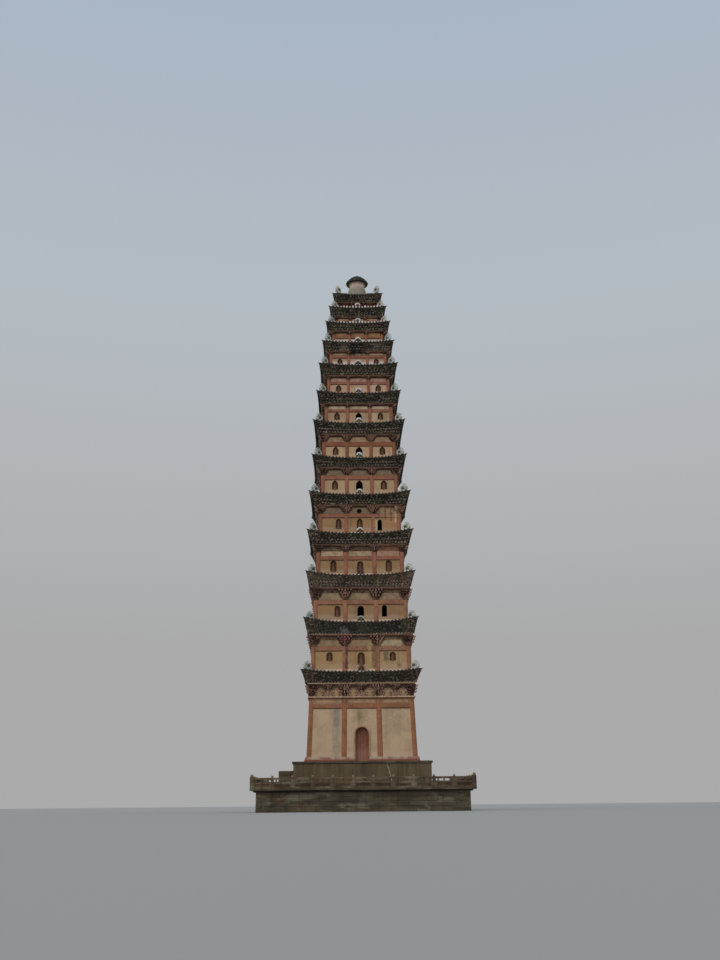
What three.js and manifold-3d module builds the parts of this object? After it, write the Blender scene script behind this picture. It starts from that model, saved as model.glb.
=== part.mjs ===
// A square brick pagoda of thirteen storeys on a stone platform of two tiers.
// Millimetres, +Z up. The origin is the centre of the footprint at ground level, and the door faces -Y.

import * as THREE from 'three';
import { mergeVertices } from 'three/addons/utils/BufferGeometryUtils.js';
import Module from 'manifold-3d';

const wasm = await Module();
wasm.setup();

// Storeys from the ground up: height of the eave's drip line, half the width over the roof's corners and
// how far these sweep up, half the width over the corner columns, height of the wall's head under the
// cornice, and the beam's underside and top.
const STOREYS = [
  { drip: 8090, eave: 3710, lift: 200, wall: 3360, head: 7530, beam: [6010, 6250] },
  { drip: 11190, eave: 3570, lift: 340, wall: 3120, head: 10540, beam: [9520, 9800] },
  { drip: 14200, eave: 3460, lift: 300, wall: 2990, head: 13530, beam: [12460, 12740] },
  { drip: 16960, eave: 3400, lift: 280, wall: 2820, head: 16390, beam: [15380, 15620] },
  { drip: 19590, eave: 3300, lift: 270, wall: 2700, head: 19080, beam: [18240, 18490] },
  { drip: 22170, eave: 3120, lift: 270, wall: 2540, head: 21720, beam: [20880, 21190] },
  { drip: 24650, eave: 3060, lift: 260, wall: 2460, head: 24080, beam: [23260, 23540] },
  { drip: 26900, eave: 2840, lift: 200, wall: 2310, head: 26360, beam: [25780, 25950] },
  { drip: 29040, eave: 2690, lift: 160, wall: 2140, head: 28500, beam: [27870, 28040] },
  { drip: 30860, eave: 2480, lift: 130, wall: 1980, head: 30410, beam: [29920, 30100] },
  { drip: 32430, eave: 2240, lift: 140, wall: 1780, head: 32050, beam: [31500, 31610] },
  { drip: 33740, eave: 2010, lift: 110, wall: 1590, head: 33220, beam: [32870, 32980] },
  { drip: 34900, eave: 1760, lift: 80, wall: 1320, head: 34520, beam: [34120, 34230] },
];
const HOLLOW_STOREYS = 10;
const SIDES = 4;
const CLEARANCE = 0.3;

// Platform
const LOWER_WALL_HALF = 6120;
const LOWER_WALL_TOP = 1090;
const FILLET_HALF = 6270;
const FILLET_HEIGHT = 100;
const COPING_HALF = 6450;
const COPING_HEIGHT = 100;
const DECK = LOWER_WALL_TOP + FILLET_HEIGHT + COPING_HEIGHT;
const UPPER_HALF = 4100;
const UPPER_CAP_HALF = 4170;
const UPPER_CAP_HEIGHT = 140;
const UPPER_TOP = 2850;

// Balustrade round the lower tier: its line, posts, rails and solid panel
const RAIL_LINE = 6330;
const RAIL_BAYS = 11;
const POST = 170;
const POST_HEIGHT = 780;
const CORNER_POST = 220;
const CORNER_POST_HEIGHT = 860;
const PANEL = { bottom: 0, top: 370, thickness: 110 };
const TOP_RAIL = { bottom: 480, top: 600, thickness: 110 };

// Steps against the left face of the upper tier
const STEPS = { count: 4, width: 870, tread: 350, landing: 1300, front: -3900 };

// Masonry proportions, as shares of the wall's half width
const THICKNESS_SHARE = 0.42;
const BAY_SHARE = 0.325;
const LEDGE = 110;

// Relief on the walls
const RELIEF = 60;
const LEDGE_REACH = 110;
const BRACKET_REACH = 210;
const BRACKET_SPREAD = 1.35;
const COLUMN_BASE = 30;
const COLUMN_SHARE = 0.095;

// Eaves: thickness of the tiled edge, rise of the roof behind it and run of the corners
const EDGE = 170;
const ROOF_RISE = 150;
const TOP_ROOF_RISE = 400;
const CORNER_REACH = 90;
const EDGE_STEPS = 4;

// Windows of each storey: their place across the half width, size and head's drop below the beam
const WINDOWS = {
  3: [{ at: 0, width: 420, height: 650, drop: 90 }, { at: 0.5, width: 320, height: 740, drop: 50 }],
  5: [{ at: 0.48, width: 290, height: 770, drop: 120 }],
  6: [{ at: 0, width: 450, height: 650, drop: 50 }],
  7: [{ at: 0, width: 470, height: 600, drop: 50 }],
  8: [{ at: 0, width: 410, height: 530, drop: 50 }],
};
const POINTED_FROM = 5;
const ARCH_STEPS = 4;

// First storey
const MOULDING = { half: 3480, height: 270 };
const GROUND_HEAD_SHARE = 3180 / 3360;
const GROUND_PLATE = { bottom: 6600, top: 6720, reach: 90 };

// Doorway and its leaf
const DOOR_WIDTH = 840;
const DOOR_TOP = 4880;
const REVEAL = 350;
const ARCHIVOLT = { width: 70, reach: 30 };
const PASSAGE_WIDTH = 1060;
const PASSAGE_TOP = 5020;
const LEAF = { width: 960, thickness: 60, lift: 10, head: 4960, gap: 12 };
const PIVOT_RADIUS = 34;

// Finial
const DRUM_FOOT_RADIUS = 660;
const DRUM_NECK_RADIUS = 525;
const DRUM_TOP = 36600;
const CAP_RADIUS = 800;
const FINIAL_TOP = 37350;
const FINIAL_SIDES = 16;

const material = (color, roughness) => new THREE.MeshStandardMaterial({ color, roughness, metalness: 0 });
const PLASTER = material(0xb98f66, 0.9);
const TILE = material(0x2f3129, 0.85);
const STONE = material(0x7b7263, 0.95);
const MOULDING_RED = material(0x9c5f4e, 0.9);
const TIMBER = material(0x6d4334, 0.8);
const FINIAL_PLASTER = material(0xa39687, 0.85);

// Solids

function toSolid(geometry) {
  geometry.deleteAttribute('normal');
  geometry.deleteAttribute('uv');
  const merged = mergeVertices(geometry, 1e-3);
  return new wasm.Manifold(new wasm.Mesh({
    numProp: 3,
    vertProperties: new Float32Array(merged.attributes.position.array),
    triVerts: new Uint32Array(merged.index.array),
  }));
}

function toGeometry(solid) {
  const mesh = solid.getMesh();
  const geometry = new THREE.BufferGeometry();
  geometry.setAttribute('position', new THREE.BufferAttribute(mesh.vertProperties, mesh.numProp));
  geometry.setIndex(new THREE.BufferAttribute(mesh.triVerts, 1));
  return geometry;
}

function join(solids) {
  return solids.reduce((sum, solid) => sum.add(solid));
}

function box(x0, x1, y0, y1, z0, z1) {
  const geometry = new THREE.BoxGeometry(x1 - x0, y1 - y0, z1 - z0);
  geometry.translate((x0 + x1) / 2, (y0 + y1) / 2, (z0 + z1) / 2);
  return toSolid(geometry);
}

function square(half, z0, z1) {
  return box(-half, half, -half, half, z0, z1);
}

function turned(solid, side) {
  const geometry = toGeometry(solid);
  geometry.rotateZ((side * Math.PI) / 2);
  return toSolid(geometry);
}

function onEverySide(solid) {
  return join(Array.from({ length: SIDES }, (_, side) => turned(solid, side)));
}

// A closed solid through rings of points of equal count, from the lowest ring to the highest.
function loft(rings) {
  const count = rings[0].length;
  const points = rings.flat();
  const index = [];
  for (let level = 0; level + 1 < rings.length; level += 1) {
    for (let i = 0; i < count; i += 1) {
      const a = level * count + i;
      const b = level * count + ((i + 1) % count);
      index.push(a, b, b + count, a, b + count, a + count);
    }
  }
  const outline = (ring) => ring.map(([x, y]) => new THREE.Vector2(x, y));
  for (const [a, b, c] of THREE.ShapeUtils.triangulateShape(outline(rings[0]), [])) {
    index.push(a, c, b);
  }
  const top = (rings.length - 1) * count;
  for (const [a, b, c] of THREE.ShapeUtils.triangulateShape(outline(rings.at(-1)), [])) {
    index.push(top + a, top + b, top + c);
  }
  const geometry = new THREE.BufferGeometry();
  geometry.setAttribute('position', new THREE.Float32BufferAttribute(points.flat(), 3));
  geometry.setIndex(index);
  return toSolid(geometry);
}

const rectangle = (x0, x1, y0, y1, z) => [[x0, y0, z], [x1, y0, z], [x1, y1, z], [x0, y1, z]];

// An upright outline of points across and up the front face, run from y0 to y1.
function prism(outline, y0, y1) {
  const shape = new THREE.Shape(outline.map(([x, z]) => new THREE.Vector2(x, z)));
  const geometry = new THREE.ExtrudeGeometry(shape, { depth: y1 - y0, bevelEnabled: false });
  geometry.rotateX(Math.PI / 2);
  geometry.translate(0, y1, 0);
  return toSolid(geometry);
}

// A round-headed outline, or one whose arch comes to a point.
function arch(centre, width, bottom, top, pointed) {
  const radius = width / 2;
  const spring = top - radius * (pointed ? 1.25 : 1);
  const outline = [[centre - radius, bottom], [centre + radius, bottom]];
  for (let i = 0; i <= ARCH_STEPS; i += 1) {
    const angle = (Math.PI * i) / ARCH_STEPS;
    const rise = Math.sin(angle);
    const crown = pointed ? (top - spring) * (0.72 * rise + 0.28 * rise ** 6) : radius * rise;
    outline.push([centre + radius * Math.cos(angle), spring + crown]);
  }
  return outline;
}

// Levels of a storey

const roofTop = (i) => STOREYS[i].drip + EDGE + (i === STOREYS.length - 1 ? TOP_ROOF_RISE : ROOF_RISE);

function levels(i) {
  const { head: top, beam: [beamBottom, beamTop] } = STOREYS[i];
  const foot = i === 0 ? UPPER_TOP + MOULDING.height : roofTop(i - 1);
  return { foot, beamBottom, beamTop, top };
}

const columnWidth = (half) => COLUMN_BASE + COLUMN_SHARE * half;
const roomHalf = (i) => STOREYS[i].wall * (1 - THICKNESS_SHARE);

// Masonry

function column(x0, x1, half, foot, top) {
  return box(x0, x1, -half, -half + 2 * RELIEF, foot, top);
}

function cornerColumn(half, width, foot, top) {
  return box(-half, -half + width, -half, -half + width, foot, top);
}

// A bracket set over a column: it widens and steps out from the column head to the ledge.
function bracket(centre, width, half, bottom, top) {
  const spread = width * BRACKET_SPREAD;
  return loft([
    rectangle(centre - width / 2, centre + width / 2, -half, -half + 2 * RELIEF, bottom),
    rectangle(centre - spread, centre + spread, -half - BRACKET_REACH, -half + 2 * RELIEF, top),
  ]);
}

function cornerBracket(half, width, bottom, top) {
  const out = half + BRACKET_REACH;
  const back = half - width * (BRACKET_SPREAD + 0.3);
  return loft([
    rectangle(-half, -half + width, -half, -half + width, bottom),
    rectangle(-out, -back, -out, -back, top),
  ]);
}

function windowCuts(i) {
  const { beamBottom } = levels(i);
  const half = STOREYS[i].wall;
  return WINDOWS[i + 1].map(({ at, width, height, drop }) => prism(
    arch(at * half, width, beamBottom - drop - height, beamBottom - drop, i + 1 >= POINTED_FROM),
    -half - RELIEF, RELIEF - roomHalf(i)));
}

// One side's two columns and one corner, with the bracket sets over them.
function sideRelief(half, foot, columnTop, bracketFoot, bracketTop) {
  const width = columnWidth(half);
  const bay = BAY_SHARE * half;
  return join([
    column(-bay - width / 2, -bay + width / 2, half, foot, columnTop),
    column(bay - width / 2, bay + width / 2, half, foot, columnTop),
    cornerColumn(half, width, foot, columnTop),
    cornerBracket(half, width, bracketFoot, bracketTop),
    bracket(-bay, width, half, bracketFoot, bracketTop),
    bracket(bay, width, half, bracketFoot, bracketTop),
  ]);
}

function upperWall(i) {
  const { foot, beamTop, top } = levels(i);
  const half = STOREYS[i].wall;
  let wall = join([
    square(half - RELIEF, foot, top),
    onEverySide(sideRelief(half, foot, beamTop, beamTop, top - LEDGE)),
    square(half + LEDGE_REACH, top - LEDGE, top),
  ]);
  if (i < HOLLOW_STOREYS) wall = wall.subtract(square(roomHalf(i), foot - 1, top + 1));
  return WINDOWS[i + 1] ? wall.subtract(onEverySide(join(windowCuts(i)))) : wall;
}

// The first storey leans in towards its head, and has a plate and a row of frames over its beam.
function leanIn(solid, foot, top) {
  const geometry = toGeometry(solid);
  const position = geometry.attributes.position;
  for (let p = 0; p < position.count; p += 1) {
    const share = THREE.MathUtils.clamp((position.getZ(p) - foot) / (top - foot), 0, 1);
    const scale = 1 - (1 - GROUND_HEAD_SHARE) * share;
    position.setXY(p, position.getX(p) * scale, position.getY(p) * scale);
  }
  return toSolid(geometry);
}

function doorCuts(wallFace) {
  return join([
    prism(arch(0, DOOR_WIDTH, UPPER_TOP - 1, DOOR_TOP, false), -MOULDING.half - 100, wallFace + REVEAL + 1),
    box(-PASSAGE_WIDTH / 2, PASSAGE_WIDTH / 2, wallFace + REVEAL, -roomHalf(0) + 1,
      UPPER_TOP - 1, PASSAGE_TOP),
  ]);
}

function groundWall() {
  const { foot, top } = levels(0);
  const half = STOREYS[0].wall;
  const bracketHead = top - LEDGE;
  const between = [-2, 0, 2].map((step) => bracket(
    step * BAY_SHARE * half, 0.8 * columnWidth(half), half, GROUND_PLATE.top, bracketHead));
  const upright = join([
    square(half - RELIEF, foot, top),
    onEverySide(sideRelief(half, foot, GROUND_PLATE.bottom, GROUND_PLATE.top, bracketHead)),
    onEverySide(join(between)),
    square(half + GROUND_PLATE.reach, GROUND_PLATE.bottom, GROUND_PLATE.top),
    square(half + LEDGE_REACH, top - LEDGE, top),
  ]);
  const wallFace = -half + RELIEF;
  const archivolt = prism(
    arch(0, DOOR_WIDTH + 2 * ARCHIVOLT.width, foot, DOOR_TOP + ARCHIVOLT.width, false),
    wallFace - ARCHIVOLT.reach, wallFace + 2 * RELIEF);
  return leanIn(upright, foot, top)
    .add(archivolt)
    .subtract(square(roomHalf(0), foot - 1, top + 1))
    .subtract(doorCuts(wallFace));
}

function baseMoulding() {
  const wallFace = -STOREYS[0].wall + RELIEF;
  return square(MOULDING.half, UPPER_TOP, UPPER_TOP + MOULDING.height)
    .subtract(square(roomHalf(0), UPPER_TOP - 1, UPPER_TOP + MOULDING.height + 1))
    .subtract(doorCuts(wallFace));
}

// Eaves

// A square ring whose sides sweep up and out to the corners.
function sweptRing(half, z, lift, reach) {
  const ring = [];
  for (let side = 0; side < SIDES; side += 1) {
    const turn = (side * Math.PI) / 2;
    for (let step = 0; step < EDGE_STEPS; step += 1) {
      const along = (2 * step) / EDGE_STEPS - 1;
      const sweep = Math.abs(along) ** 3;
      const x = along * (half + reach * sweep);
      const y = -(half + reach * sweep);
      ring.push([
        x * Math.cos(turn) - y * Math.sin(turn),
        x * Math.sin(turn) + y * Math.cos(turn),
        z + lift * sweep,
      ]);
    }
  }
  return ring;
}

function eave(i) {
  const { drip, eave: tip, lift, wall } = STOREYS[i];
  const last = i === STOREYS.length - 1;
  const { top: bottom } = levels(i);
  const edge = tip - CORNER_REACH;
  const headWall = i === 0 ? wall * GROUND_HEAD_SHARE : wall;
  const inner = headWall + LEDGE_REACH + 40;
  const seat = last ? DRUM_FOOT_RADIUS + 60 : STOREYS[i + 1].wall + 40;
  return loft([
    sweptRing(inner, bottom, 0, 0),
    sweptRing(inner + 0.35 * (edge - inner), bottom + 0.45 * (drip - bottom), 0.3 * lift, 0.3 * CORNER_REACH),
    sweptRing(edge - 30, drip, lift, CORNER_REACH),
    sweptRing(edge, drip + EDGE, lift, CORNER_REACH),
    sweptRing(seat, roofTop(i), 0, 0),
  ]);
}

// Platform

function lowerPlinth() {
  return join([
    square(LOWER_WALL_HALF, 0, LOWER_WALL_TOP),
    square(FILLET_HALF, LOWER_WALL_TOP, LOWER_WALL_TOP + FILLET_HEIGHT),
    square(COPING_HALF, LOWER_WALL_TOP + FILLET_HEIGHT, DECK),
  ]);
}

function upperPlinth() {
  return square(UPPER_HALF, DECK, UPPER_TOP - UPPER_CAP_HEIGHT)
    .add(square(UPPER_CAP_HALF, UPPER_TOP - UPPER_CAP_HEIGHT, UPPER_TOP));
}

// One side of the balustrade along the front; the corner posts belong to the front and back sides.
function balustrade(withCorners) {
  const spacing = (2 * RAIL_LINE) / RAIL_BAYS;
  const end = withCorners ? RAIL_LINE : RAIL_LINE - CORNER_POST / 2 - 2 * CLEARANCE;
  const strip = ({ bottom, top, thickness }) => box(
    -end, end, -RAIL_LINE - thickness / 2, -RAIL_LINE + thickness / 2, DECK + bottom, DECK + top);
  const post = (x, size, height) => box(
    x - size / 2, x + size / 2, -RAIL_LINE - size / 2, -RAIL_LINE + size / 2, DECK, DECK + height);
  const pieces = [strip(PANEL), strip(TOP_RAIL)];
  for (let bay = 1; bay < RAIL_BAYS; bay += 1) {
    pieces.push(post(-RAIL_LINE + bay * spacing, POST, POST_HEIGHT));
  }
  if (withCorners) {
    pieces.push(post(-RAIL_LINE, CORNER_POST, CORNER_POST_HEIGHT));
    pieces.push(post(RAIL_LINE, CORNER_POST, CORNER_POST_HEIGHT));
  }
  return join(pieces);
}

function sideSteps() {
  const riser = (UPPER_TOP - DECK) / (STEPS.count + 2);
  const left = -UPPER_HALF - STEPS.width;
  const treads = [];
  for (let step = 1; step <= STEPS.count; step += 1) {
    const back = STEPS.front + STEPS.landing + (STEPS.count - step) * STEPS.tread;
    treads.push(box(left, -UPPER_HALF - CLEARANCE, STEPS.front, back, DECK, DECK + step * riser));
  }
  return join(treads);
}

// Door leaf with a pivot post that stands on the sill

function doorLeaf() {
  const back = -STOREYS[0].wall + RELIEF + REVEAL;
  const { width, thickness, lift, head, gap } = LEAF;
  const panel = box(-width / 2, width / 2, back + gap, back + gap + thickness, UPPER_TOP + lift, head);
  const post = new THREE.CylinderGeometry(PIVOT_RADIUS, PIVOT_RADIUS, head - UPPER_TOP, 12);
  post.rotateX(Math.PI / 2);
  post.translate(-width / 2, back + gap + thickness / 2, (head + UPPER_TOP) / 2 + CLEARANCE);
  return panel.add(toSolid(post));
}

// Finial

function turnedProfile(profile) {
  const points = profile.map(([radius, z]) => new THREE.Vector2(radius, z));
  const geometry = new THREE.LatheGeometry(points, FINIAL_SIDES);
  geometry.rotateX(Math.PI / 2);
  return toSolid(geometry);
}

function finialDrum() {
  const foot = roofTop(STOREYS.length - 1);
  const height = DRUM_TOP - foot;
  return turnedProfile([
    [0, foot], [DRUM_FOOT_RADIUS, foot], [DRUM_FOOT_RADIUS - 10, foot + 0.45 * height],
    [DRUM_FOOT_RADIUS - 50, foot + 0.62 * height], [DRUM_NECK_RADIUS, foot + 0.75 * height],
    [DRUM_NECK_RADIUS, DRUM_TOP], [0, DRUM_TOP],
  ]);
}

function finialCap() {
  const height = FINIAL_TOP - DRUM_TOP;
  return turnedProfile([
    [0, DRUM_TOP], [CAP_RADIUS - 40, DRUM_TOP], [CAP_RADIUS, DRUM_TOP + 0.09 * height],
    [0.82 * CAP_RADIUS, DRUM_TOP + 0.28 * height], [0.66 * CAP_RADIUS, DRUM_TOP + 0.52 * height],
    [0.42 * CAP_RADIUS, DRUM_TOP + 0.74 * height], [0.14 * CAP_RADIUS, DRUM_TOP + 0.86 * height],
    [0.1 * CAP_RADIUS, FINIAL_TOP], [0, FINIAL_TOP],
  ]);
}

// Assembly

const pagoda = new THREE.Group();

function place(name, solid, finish) {
  const mesh = new THREE.Mesh(toGeometry(solid), finish);
  mesh.name = name;
  pagoda.add(mesh);
}

place('lower_plinth', lowerPlinth(), STONE);
place('upper_plinth', upperPlinth(), STONE);
place('side_steps', sideSteps(), STONE);
['front', 'right', 'back', 'left'].forEach((name, side) => {
  place(`balustrade_${name}`, turned(balustrade(side % 2 === 0), side), STONE);
});
place('base_moulding', baseMoulding(), MOULDING_RED);
STOREYS.forEach((storey, i) => {
  const number = String(i + 1).padStart(2, '0');
  place(`wall_${number}`, i === 0 ? groundWall() : upperWall(i), PLASTER);
  place(`eave_${number}`, eave(i), TILE);
});
place('door_leaf', doorLeaf(), TIMBER);
place('finial_drum', finialDrum(), FINIAL_PLASTER);
place('finial_cap', finialCap(), TILE);

export default pagoda;
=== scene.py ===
"""A square brick pagoda of thirteen storeys: the finish of every surface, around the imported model."""

import math
import random

import bpy
from mathutils import Matrix, Vector


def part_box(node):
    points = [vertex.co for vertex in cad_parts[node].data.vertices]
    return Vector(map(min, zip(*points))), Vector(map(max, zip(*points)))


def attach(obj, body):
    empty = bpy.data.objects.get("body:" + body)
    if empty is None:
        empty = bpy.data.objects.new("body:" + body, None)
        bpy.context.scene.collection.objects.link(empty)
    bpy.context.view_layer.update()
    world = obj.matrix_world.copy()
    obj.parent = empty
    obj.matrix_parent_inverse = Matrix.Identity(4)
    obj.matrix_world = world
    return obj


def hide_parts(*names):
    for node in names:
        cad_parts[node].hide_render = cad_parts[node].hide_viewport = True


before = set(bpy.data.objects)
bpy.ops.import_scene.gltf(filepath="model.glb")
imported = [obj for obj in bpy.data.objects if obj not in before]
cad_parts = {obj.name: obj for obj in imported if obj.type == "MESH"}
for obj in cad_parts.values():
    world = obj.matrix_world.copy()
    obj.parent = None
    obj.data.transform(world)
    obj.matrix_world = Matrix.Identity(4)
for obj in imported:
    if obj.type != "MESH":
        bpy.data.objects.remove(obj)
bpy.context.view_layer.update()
chance = random.Random(13)

# Camera at the photograph's viewing angle

EYE = (-1.086, -66.8, 0.39)
LENS = 38.25
SENSOR = 36.0
HEADING, PITCH, ROLL = -1.005, 107.65, -0.55


def add_camera():
    data = bpy.data.cameras.new("camera")
    data.sensor_fit = "VERTICAL"
    data.sensor_height = SENSOR
    data.lens = LENS
    data.clip_end = 1000
    camera = bpy.data.objects.new("camera", data)
    turn = (
        Matrix.Rotation(math.radians(HEADING), 4, "Z")
        @ Matrix.Rotation(math.radians(PITCH), 4, "X")
        @ Matrix.Rotation(math.radians(ROLL), 4, "Z")
    )
    camera.matrix_world = Matrix.Translation(EYE) @ turn
    bpy.context.scene.collection.objects.link(camera)
    bpy.context.scene.camera = camera


add_camera()

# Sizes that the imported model's parts are built with, in metres

STOREYS = 13
HOLLOW_STOREYS = 10
SIDES = 4
BRACKET_REACH = 0.21
RELIEF = 0.06
ROOF_RISE = 0.15
TOP_ROOF_RISE = 0.4
EDGE = 0.17
LEDGE = 0.11
LEDGE_REACH = 0.11
CORNER_REACH = 0.09
THICKNESS_SHARE = 0.42
BAY_SHARE = 0.325
GROUND_LEAN = 180 / 3360
MOULDING_REACH = 0.12
LIFTS = (0.2, 0.34, 0.3, 0.28, 0.27, 0.27, 0.26, 0.2, 0.16, 0.13, 0.14, 0.11, 0.08)
BEAMS = (
    (6.01, 6.25), (9.52, 9.8), (12.46, 12.74), (15.38, 15.62), (18.24, 18.49), (20.88, 21.19), (23.26, 23.54),
    (25.78, 25.95), (27.87, 28.04), (29.92, 30.1), (31.5, 31.61), (32.87, 32.98), (34.12, 34.23),
)
PLAQUE_TOPS = (7.14, 10.17, 13.17, 15.94, 18.89, 21.5, 23.89, 26.17, 28.29, 30.24, 31.87, 33.08, 34.38)
BED, BED_TOP = 0.06, 0.16
FINIAL_SEAT, SEAT_COVER, HAIR, CORNICE_START = 0.06, 0.04, 0.005, 0.04
COLUMN_BASE, COLUMN_SHARE = 0.03, 0.095


class Storey:
    """The levels and widths of one storey, read from its wall and eave in the frame."""

    def __init__(self, number):
        self.number = number
        self.name = f"{number:02d}"
        wall_low, wall_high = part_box("wall_" + self.name)
        last = number == STOREYS
        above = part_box("finial_drum" if last else f"wall_{number + 1:02d}")
        self.foot, self.top = wall_low.z, wall_high.z
        self.roof_top = above[0].z
        self.drip = self.roof_top - EDGE - (TOP_ROOF_RISE if last else ROOF_RISE)
        self.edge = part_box("eave_" + self.name)[1].x - CORNER_REACH
        self.lift = LIFTS[number - 1]
        self.seat = above[1].x + FINIAL_SEAT if last else above[1].x - BRACKET_REACH + SEAT_COVER
        self.bed_top = self.roof_top - HAIR if last else self.drip + BED_TOP
        if number == 1:
            self.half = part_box("base_moulding")[1].x - MOULDING_REACH
            self.head = self.half * (1 - GROUND_LEAN)
        else:
            self.half = self.head = wall_high.x - BRACKET_REACH
            self.foot_on_bed = self.foot - EDGE - ROOF_RISE + BED_TOP
        self.beam_foot, self.beam_top = BEAMS[number - 1]
        self.plaque_top = PLAQUE_TOPS[number - 1]
        self.ledge = self.top - LEDGE
        self.panel = self.half - RELIEF
        self.room = self.half * (1 - THICKNESS_SHARE)
        self.column = COLUMN_BASE + COLUMN_SHARE * self.half
        self.bay = BAY_SHARE * self.half
        self.inner = self.head + LEDGE_REACH + CORNICE_START


storeys = [Storey(number) for number in range(1, STOREYS + 1)]
ground = storeys[0]
DECK, UPPER_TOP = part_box("lower_plinth")[1].z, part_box("upper_plinth")[1].z

# Mesh building. A side of the tower is built as its front: x across, d outwards, z up, with y = -d.


def rectangle(x0, x1, y0, y1, inset_x=0.0, inset_y=0.0):
    """An outline, anticlockwise from its low left corner."""
    return [(x0 + inset_x, y0 + inset_y), (x1 - inset_x, y0 + inset_y),
            (x1 - inset_x, y1 - inset_y), (x0 + inset_x, y1 - inset_y)]


def flat(outline, z):
    return [(x, y, z) for x, y in outline]


def upright(outline, depth):
    """An outline of (x, z) points that stands at a depth."""
    return [(x, -depth, z) for x, z in outline]


def disc(x, z, radius, depth, sides):
    return [(x + radius * math.cos(a), -depth, z + radius * math.sin(a)) for a in turns(sides)]


class Build:
    """Gathers the points and faces of one piece, with each face's place in its list of materials."""

    def __init__(self):
        self.points = []
        self.faces = []
        self.paints = []
        self.paint = 0

    def add(self, points, faces, paints=None):
        base = len(self.points)
        self.points.extend(points)
        self.faces.extend(tuple(base + k for k in face) for face in faces)
        self.paints.extend(paints or [self.paint] * len(faces))

    def join(self, other):
        self.add(other.points, other.faces, other.paints)

    def loft(self, rings, low_cap=True, high_cap=True):
        """A skin through rings of equal count, anticlockwise as seen against the way they run."""
        count = len(rings[0])
        points = [point for ring in rings for point in ring]
        faces = []
        for level in range(len(rings) - 1):
            for k in range(count):
                a = level * count + k
                b = level * count + (k + 1) % count
                faces.append((a, b, b + count, a + count))
        if low_cap:
            faces.append(tuple(reversed(range(count))))
        if high_cap:
            faces.append(tuple(range(len(points) - count, len(points))))
        self.add(points, faces)

    def sleeve(self, outer, inner, z0, z1):
        """A square ring of wall, open at the middle."""
        loop = []
        for half, z in ((outer, z0), (outer, z1), (inner, z1), (inner, z0)):
            loop.append(square_ring(half, z))
        self.loft([*loop, loop[0]], low_cap=False, high_cap=False)

    def block(self, x0, x1, d0, d1, z0, z1):
        self.loft([flat(rectangle(x0, x1, -d1, -d0), z) for z in (z0, z1)])

    def stone(self, x0, x1, d0, d1, z0, z1, bevel):
        """A block whose outer face is eased along its four edges."""
        outline, eased = rectangle(x0, x1, z0, z1), rectangle(x0, x1, z0, z1, bevel, bevel)
        self.loft([upright(outline, d0), upright(outline, d1 - bevel), upright(eased, d1)])

    def slab(self, x0, x1, d0, d1, z0, z1, bevel):
        """A slab whose top is eased along its four edges."""
        levels = ((0, z0), (0, z1 - bevel), (bevel, z1))
        self.loft([flat(rectangle(x0, x1, -d1, -d0, inset, inset), z) for inset, z in levels])

    def prism(self, outline, d0, d1):
        """An outline of (x, z) points, anticlockwise as seen from the front, from depth d0 out to d1."""
        self.loft([upright(outline, d0), upright(outline, d1)])

    def taper(self, x, half0, half1, back, out0, out1, z0, z1):
        """A block that widens and steps out between two levels."""
        levels = ((half0, out0, z0), (half1, out1, z1))
        self.loft([flat(rectangle(x - half, x + half, -out, -back), z) for half, out, z in levels])

    def tube(self, path, radii, sides, plane=None):
        """A round bar along points, with a radius at each. A bent one is given the normal of its plane."""
        rings = []
        for k, point in enumerate(path):
            before, after = path[max(k - 1, 0)], path[min(k + 1, len(path) - 1)]
            run = (Vector(after) - Vector(before)).normalized()
            side = Vector(plane) if plane else run.cross(Vector((0, 0, 1)))
            if side.length < 0.05:
                side = run.cross(Vector((1, 0, 0)))
            side.normalize()
            up = side.cross(run)
            rings.append([
                tuple(Vector(point) + radii[k] * (math.cos(a) * side - math.sin(a) * up))
                for a in turns(sides)
            ])
        self.loft(rings)

    def lathe(self, profile, sides, centre=(0.0, 0.0)):
        """A turned form from (radius, z) pairs, from the foot to the head."""
        self.loft([
            [(centre[0] + radius * math.cos(a), centre[1] + radius * math.sin(a), z) for a in turns(sides)]
            for radius, z in profile
        ])

    def turned(self, side):
        turn = Matrix.Rotation(side * math.pi / 2, 4, "Z")
        copy = Build()
        copy.points = [tuple(turn @ Vector(point)) for point in self.points]
        copy.faces, copy.paints = self.faces, self.paints
        return copy

    def around(self):
        """The four sides, from the one built as the front."""
        whole = Build()
        for side in range(SIDES):
            whole.join(self.turned(side))
        return whole


def turns(count):
    return [2 * math.pi * k / count for k in range(count)]


def half_turn(count):
    return [math.pi * k / count for k in range(count + 1)]


def square_ring(half, z):
    return [(-half, -half, z), (half, -half, z), (half, half, z), (-half, half, z)]


def swept_ring(half, z, lift=0.0, reach=0.0, steps=16):
    """A square ring whose sides sweep up and out to the corners."""
    ring = []
    for side in range(SIDES):
        turn = side * math.pi / 2
        for step in range(steps):
            along = 2 * step / steps - 1
            sweep = abs(along) ** 3
            x, y = along * (half + reach * sweep), -(half + reach * sweep)
            ring.append((
                x * math.cos(turn) - y * math.sin(turn),
                x * math.sin(turn) + y * math.cos(turn),
                z + lift * sweep,
            ))
    return ring


POINTED_RISE, POINTED_ROUND, POINTED_TIP = 1.25, 0.72, 0.28


def arch_outline(centre, width, bottom, top, pointed, steps=10):
    """A round-headed outline, or one whose arch comes to a point."""
    radius = width / 2
    spring = top - radius * (POINTED_RISE if pointed else 1)
    outline = [(centre - radius, bottom), (centre + radius, bottom)]
    for k in range(steps + 1):
        angle = math.pi * k / steps
        rise = math.sin(angle)
        crown = radius * rise
        if pointed:
            crown = (top - spring) * (POINTED_ROUND * rise + POINTED_TIP * rise ** 6)
        outline.append((centre + radius * math.cos(angle), spring + crown))
    return outline


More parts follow.
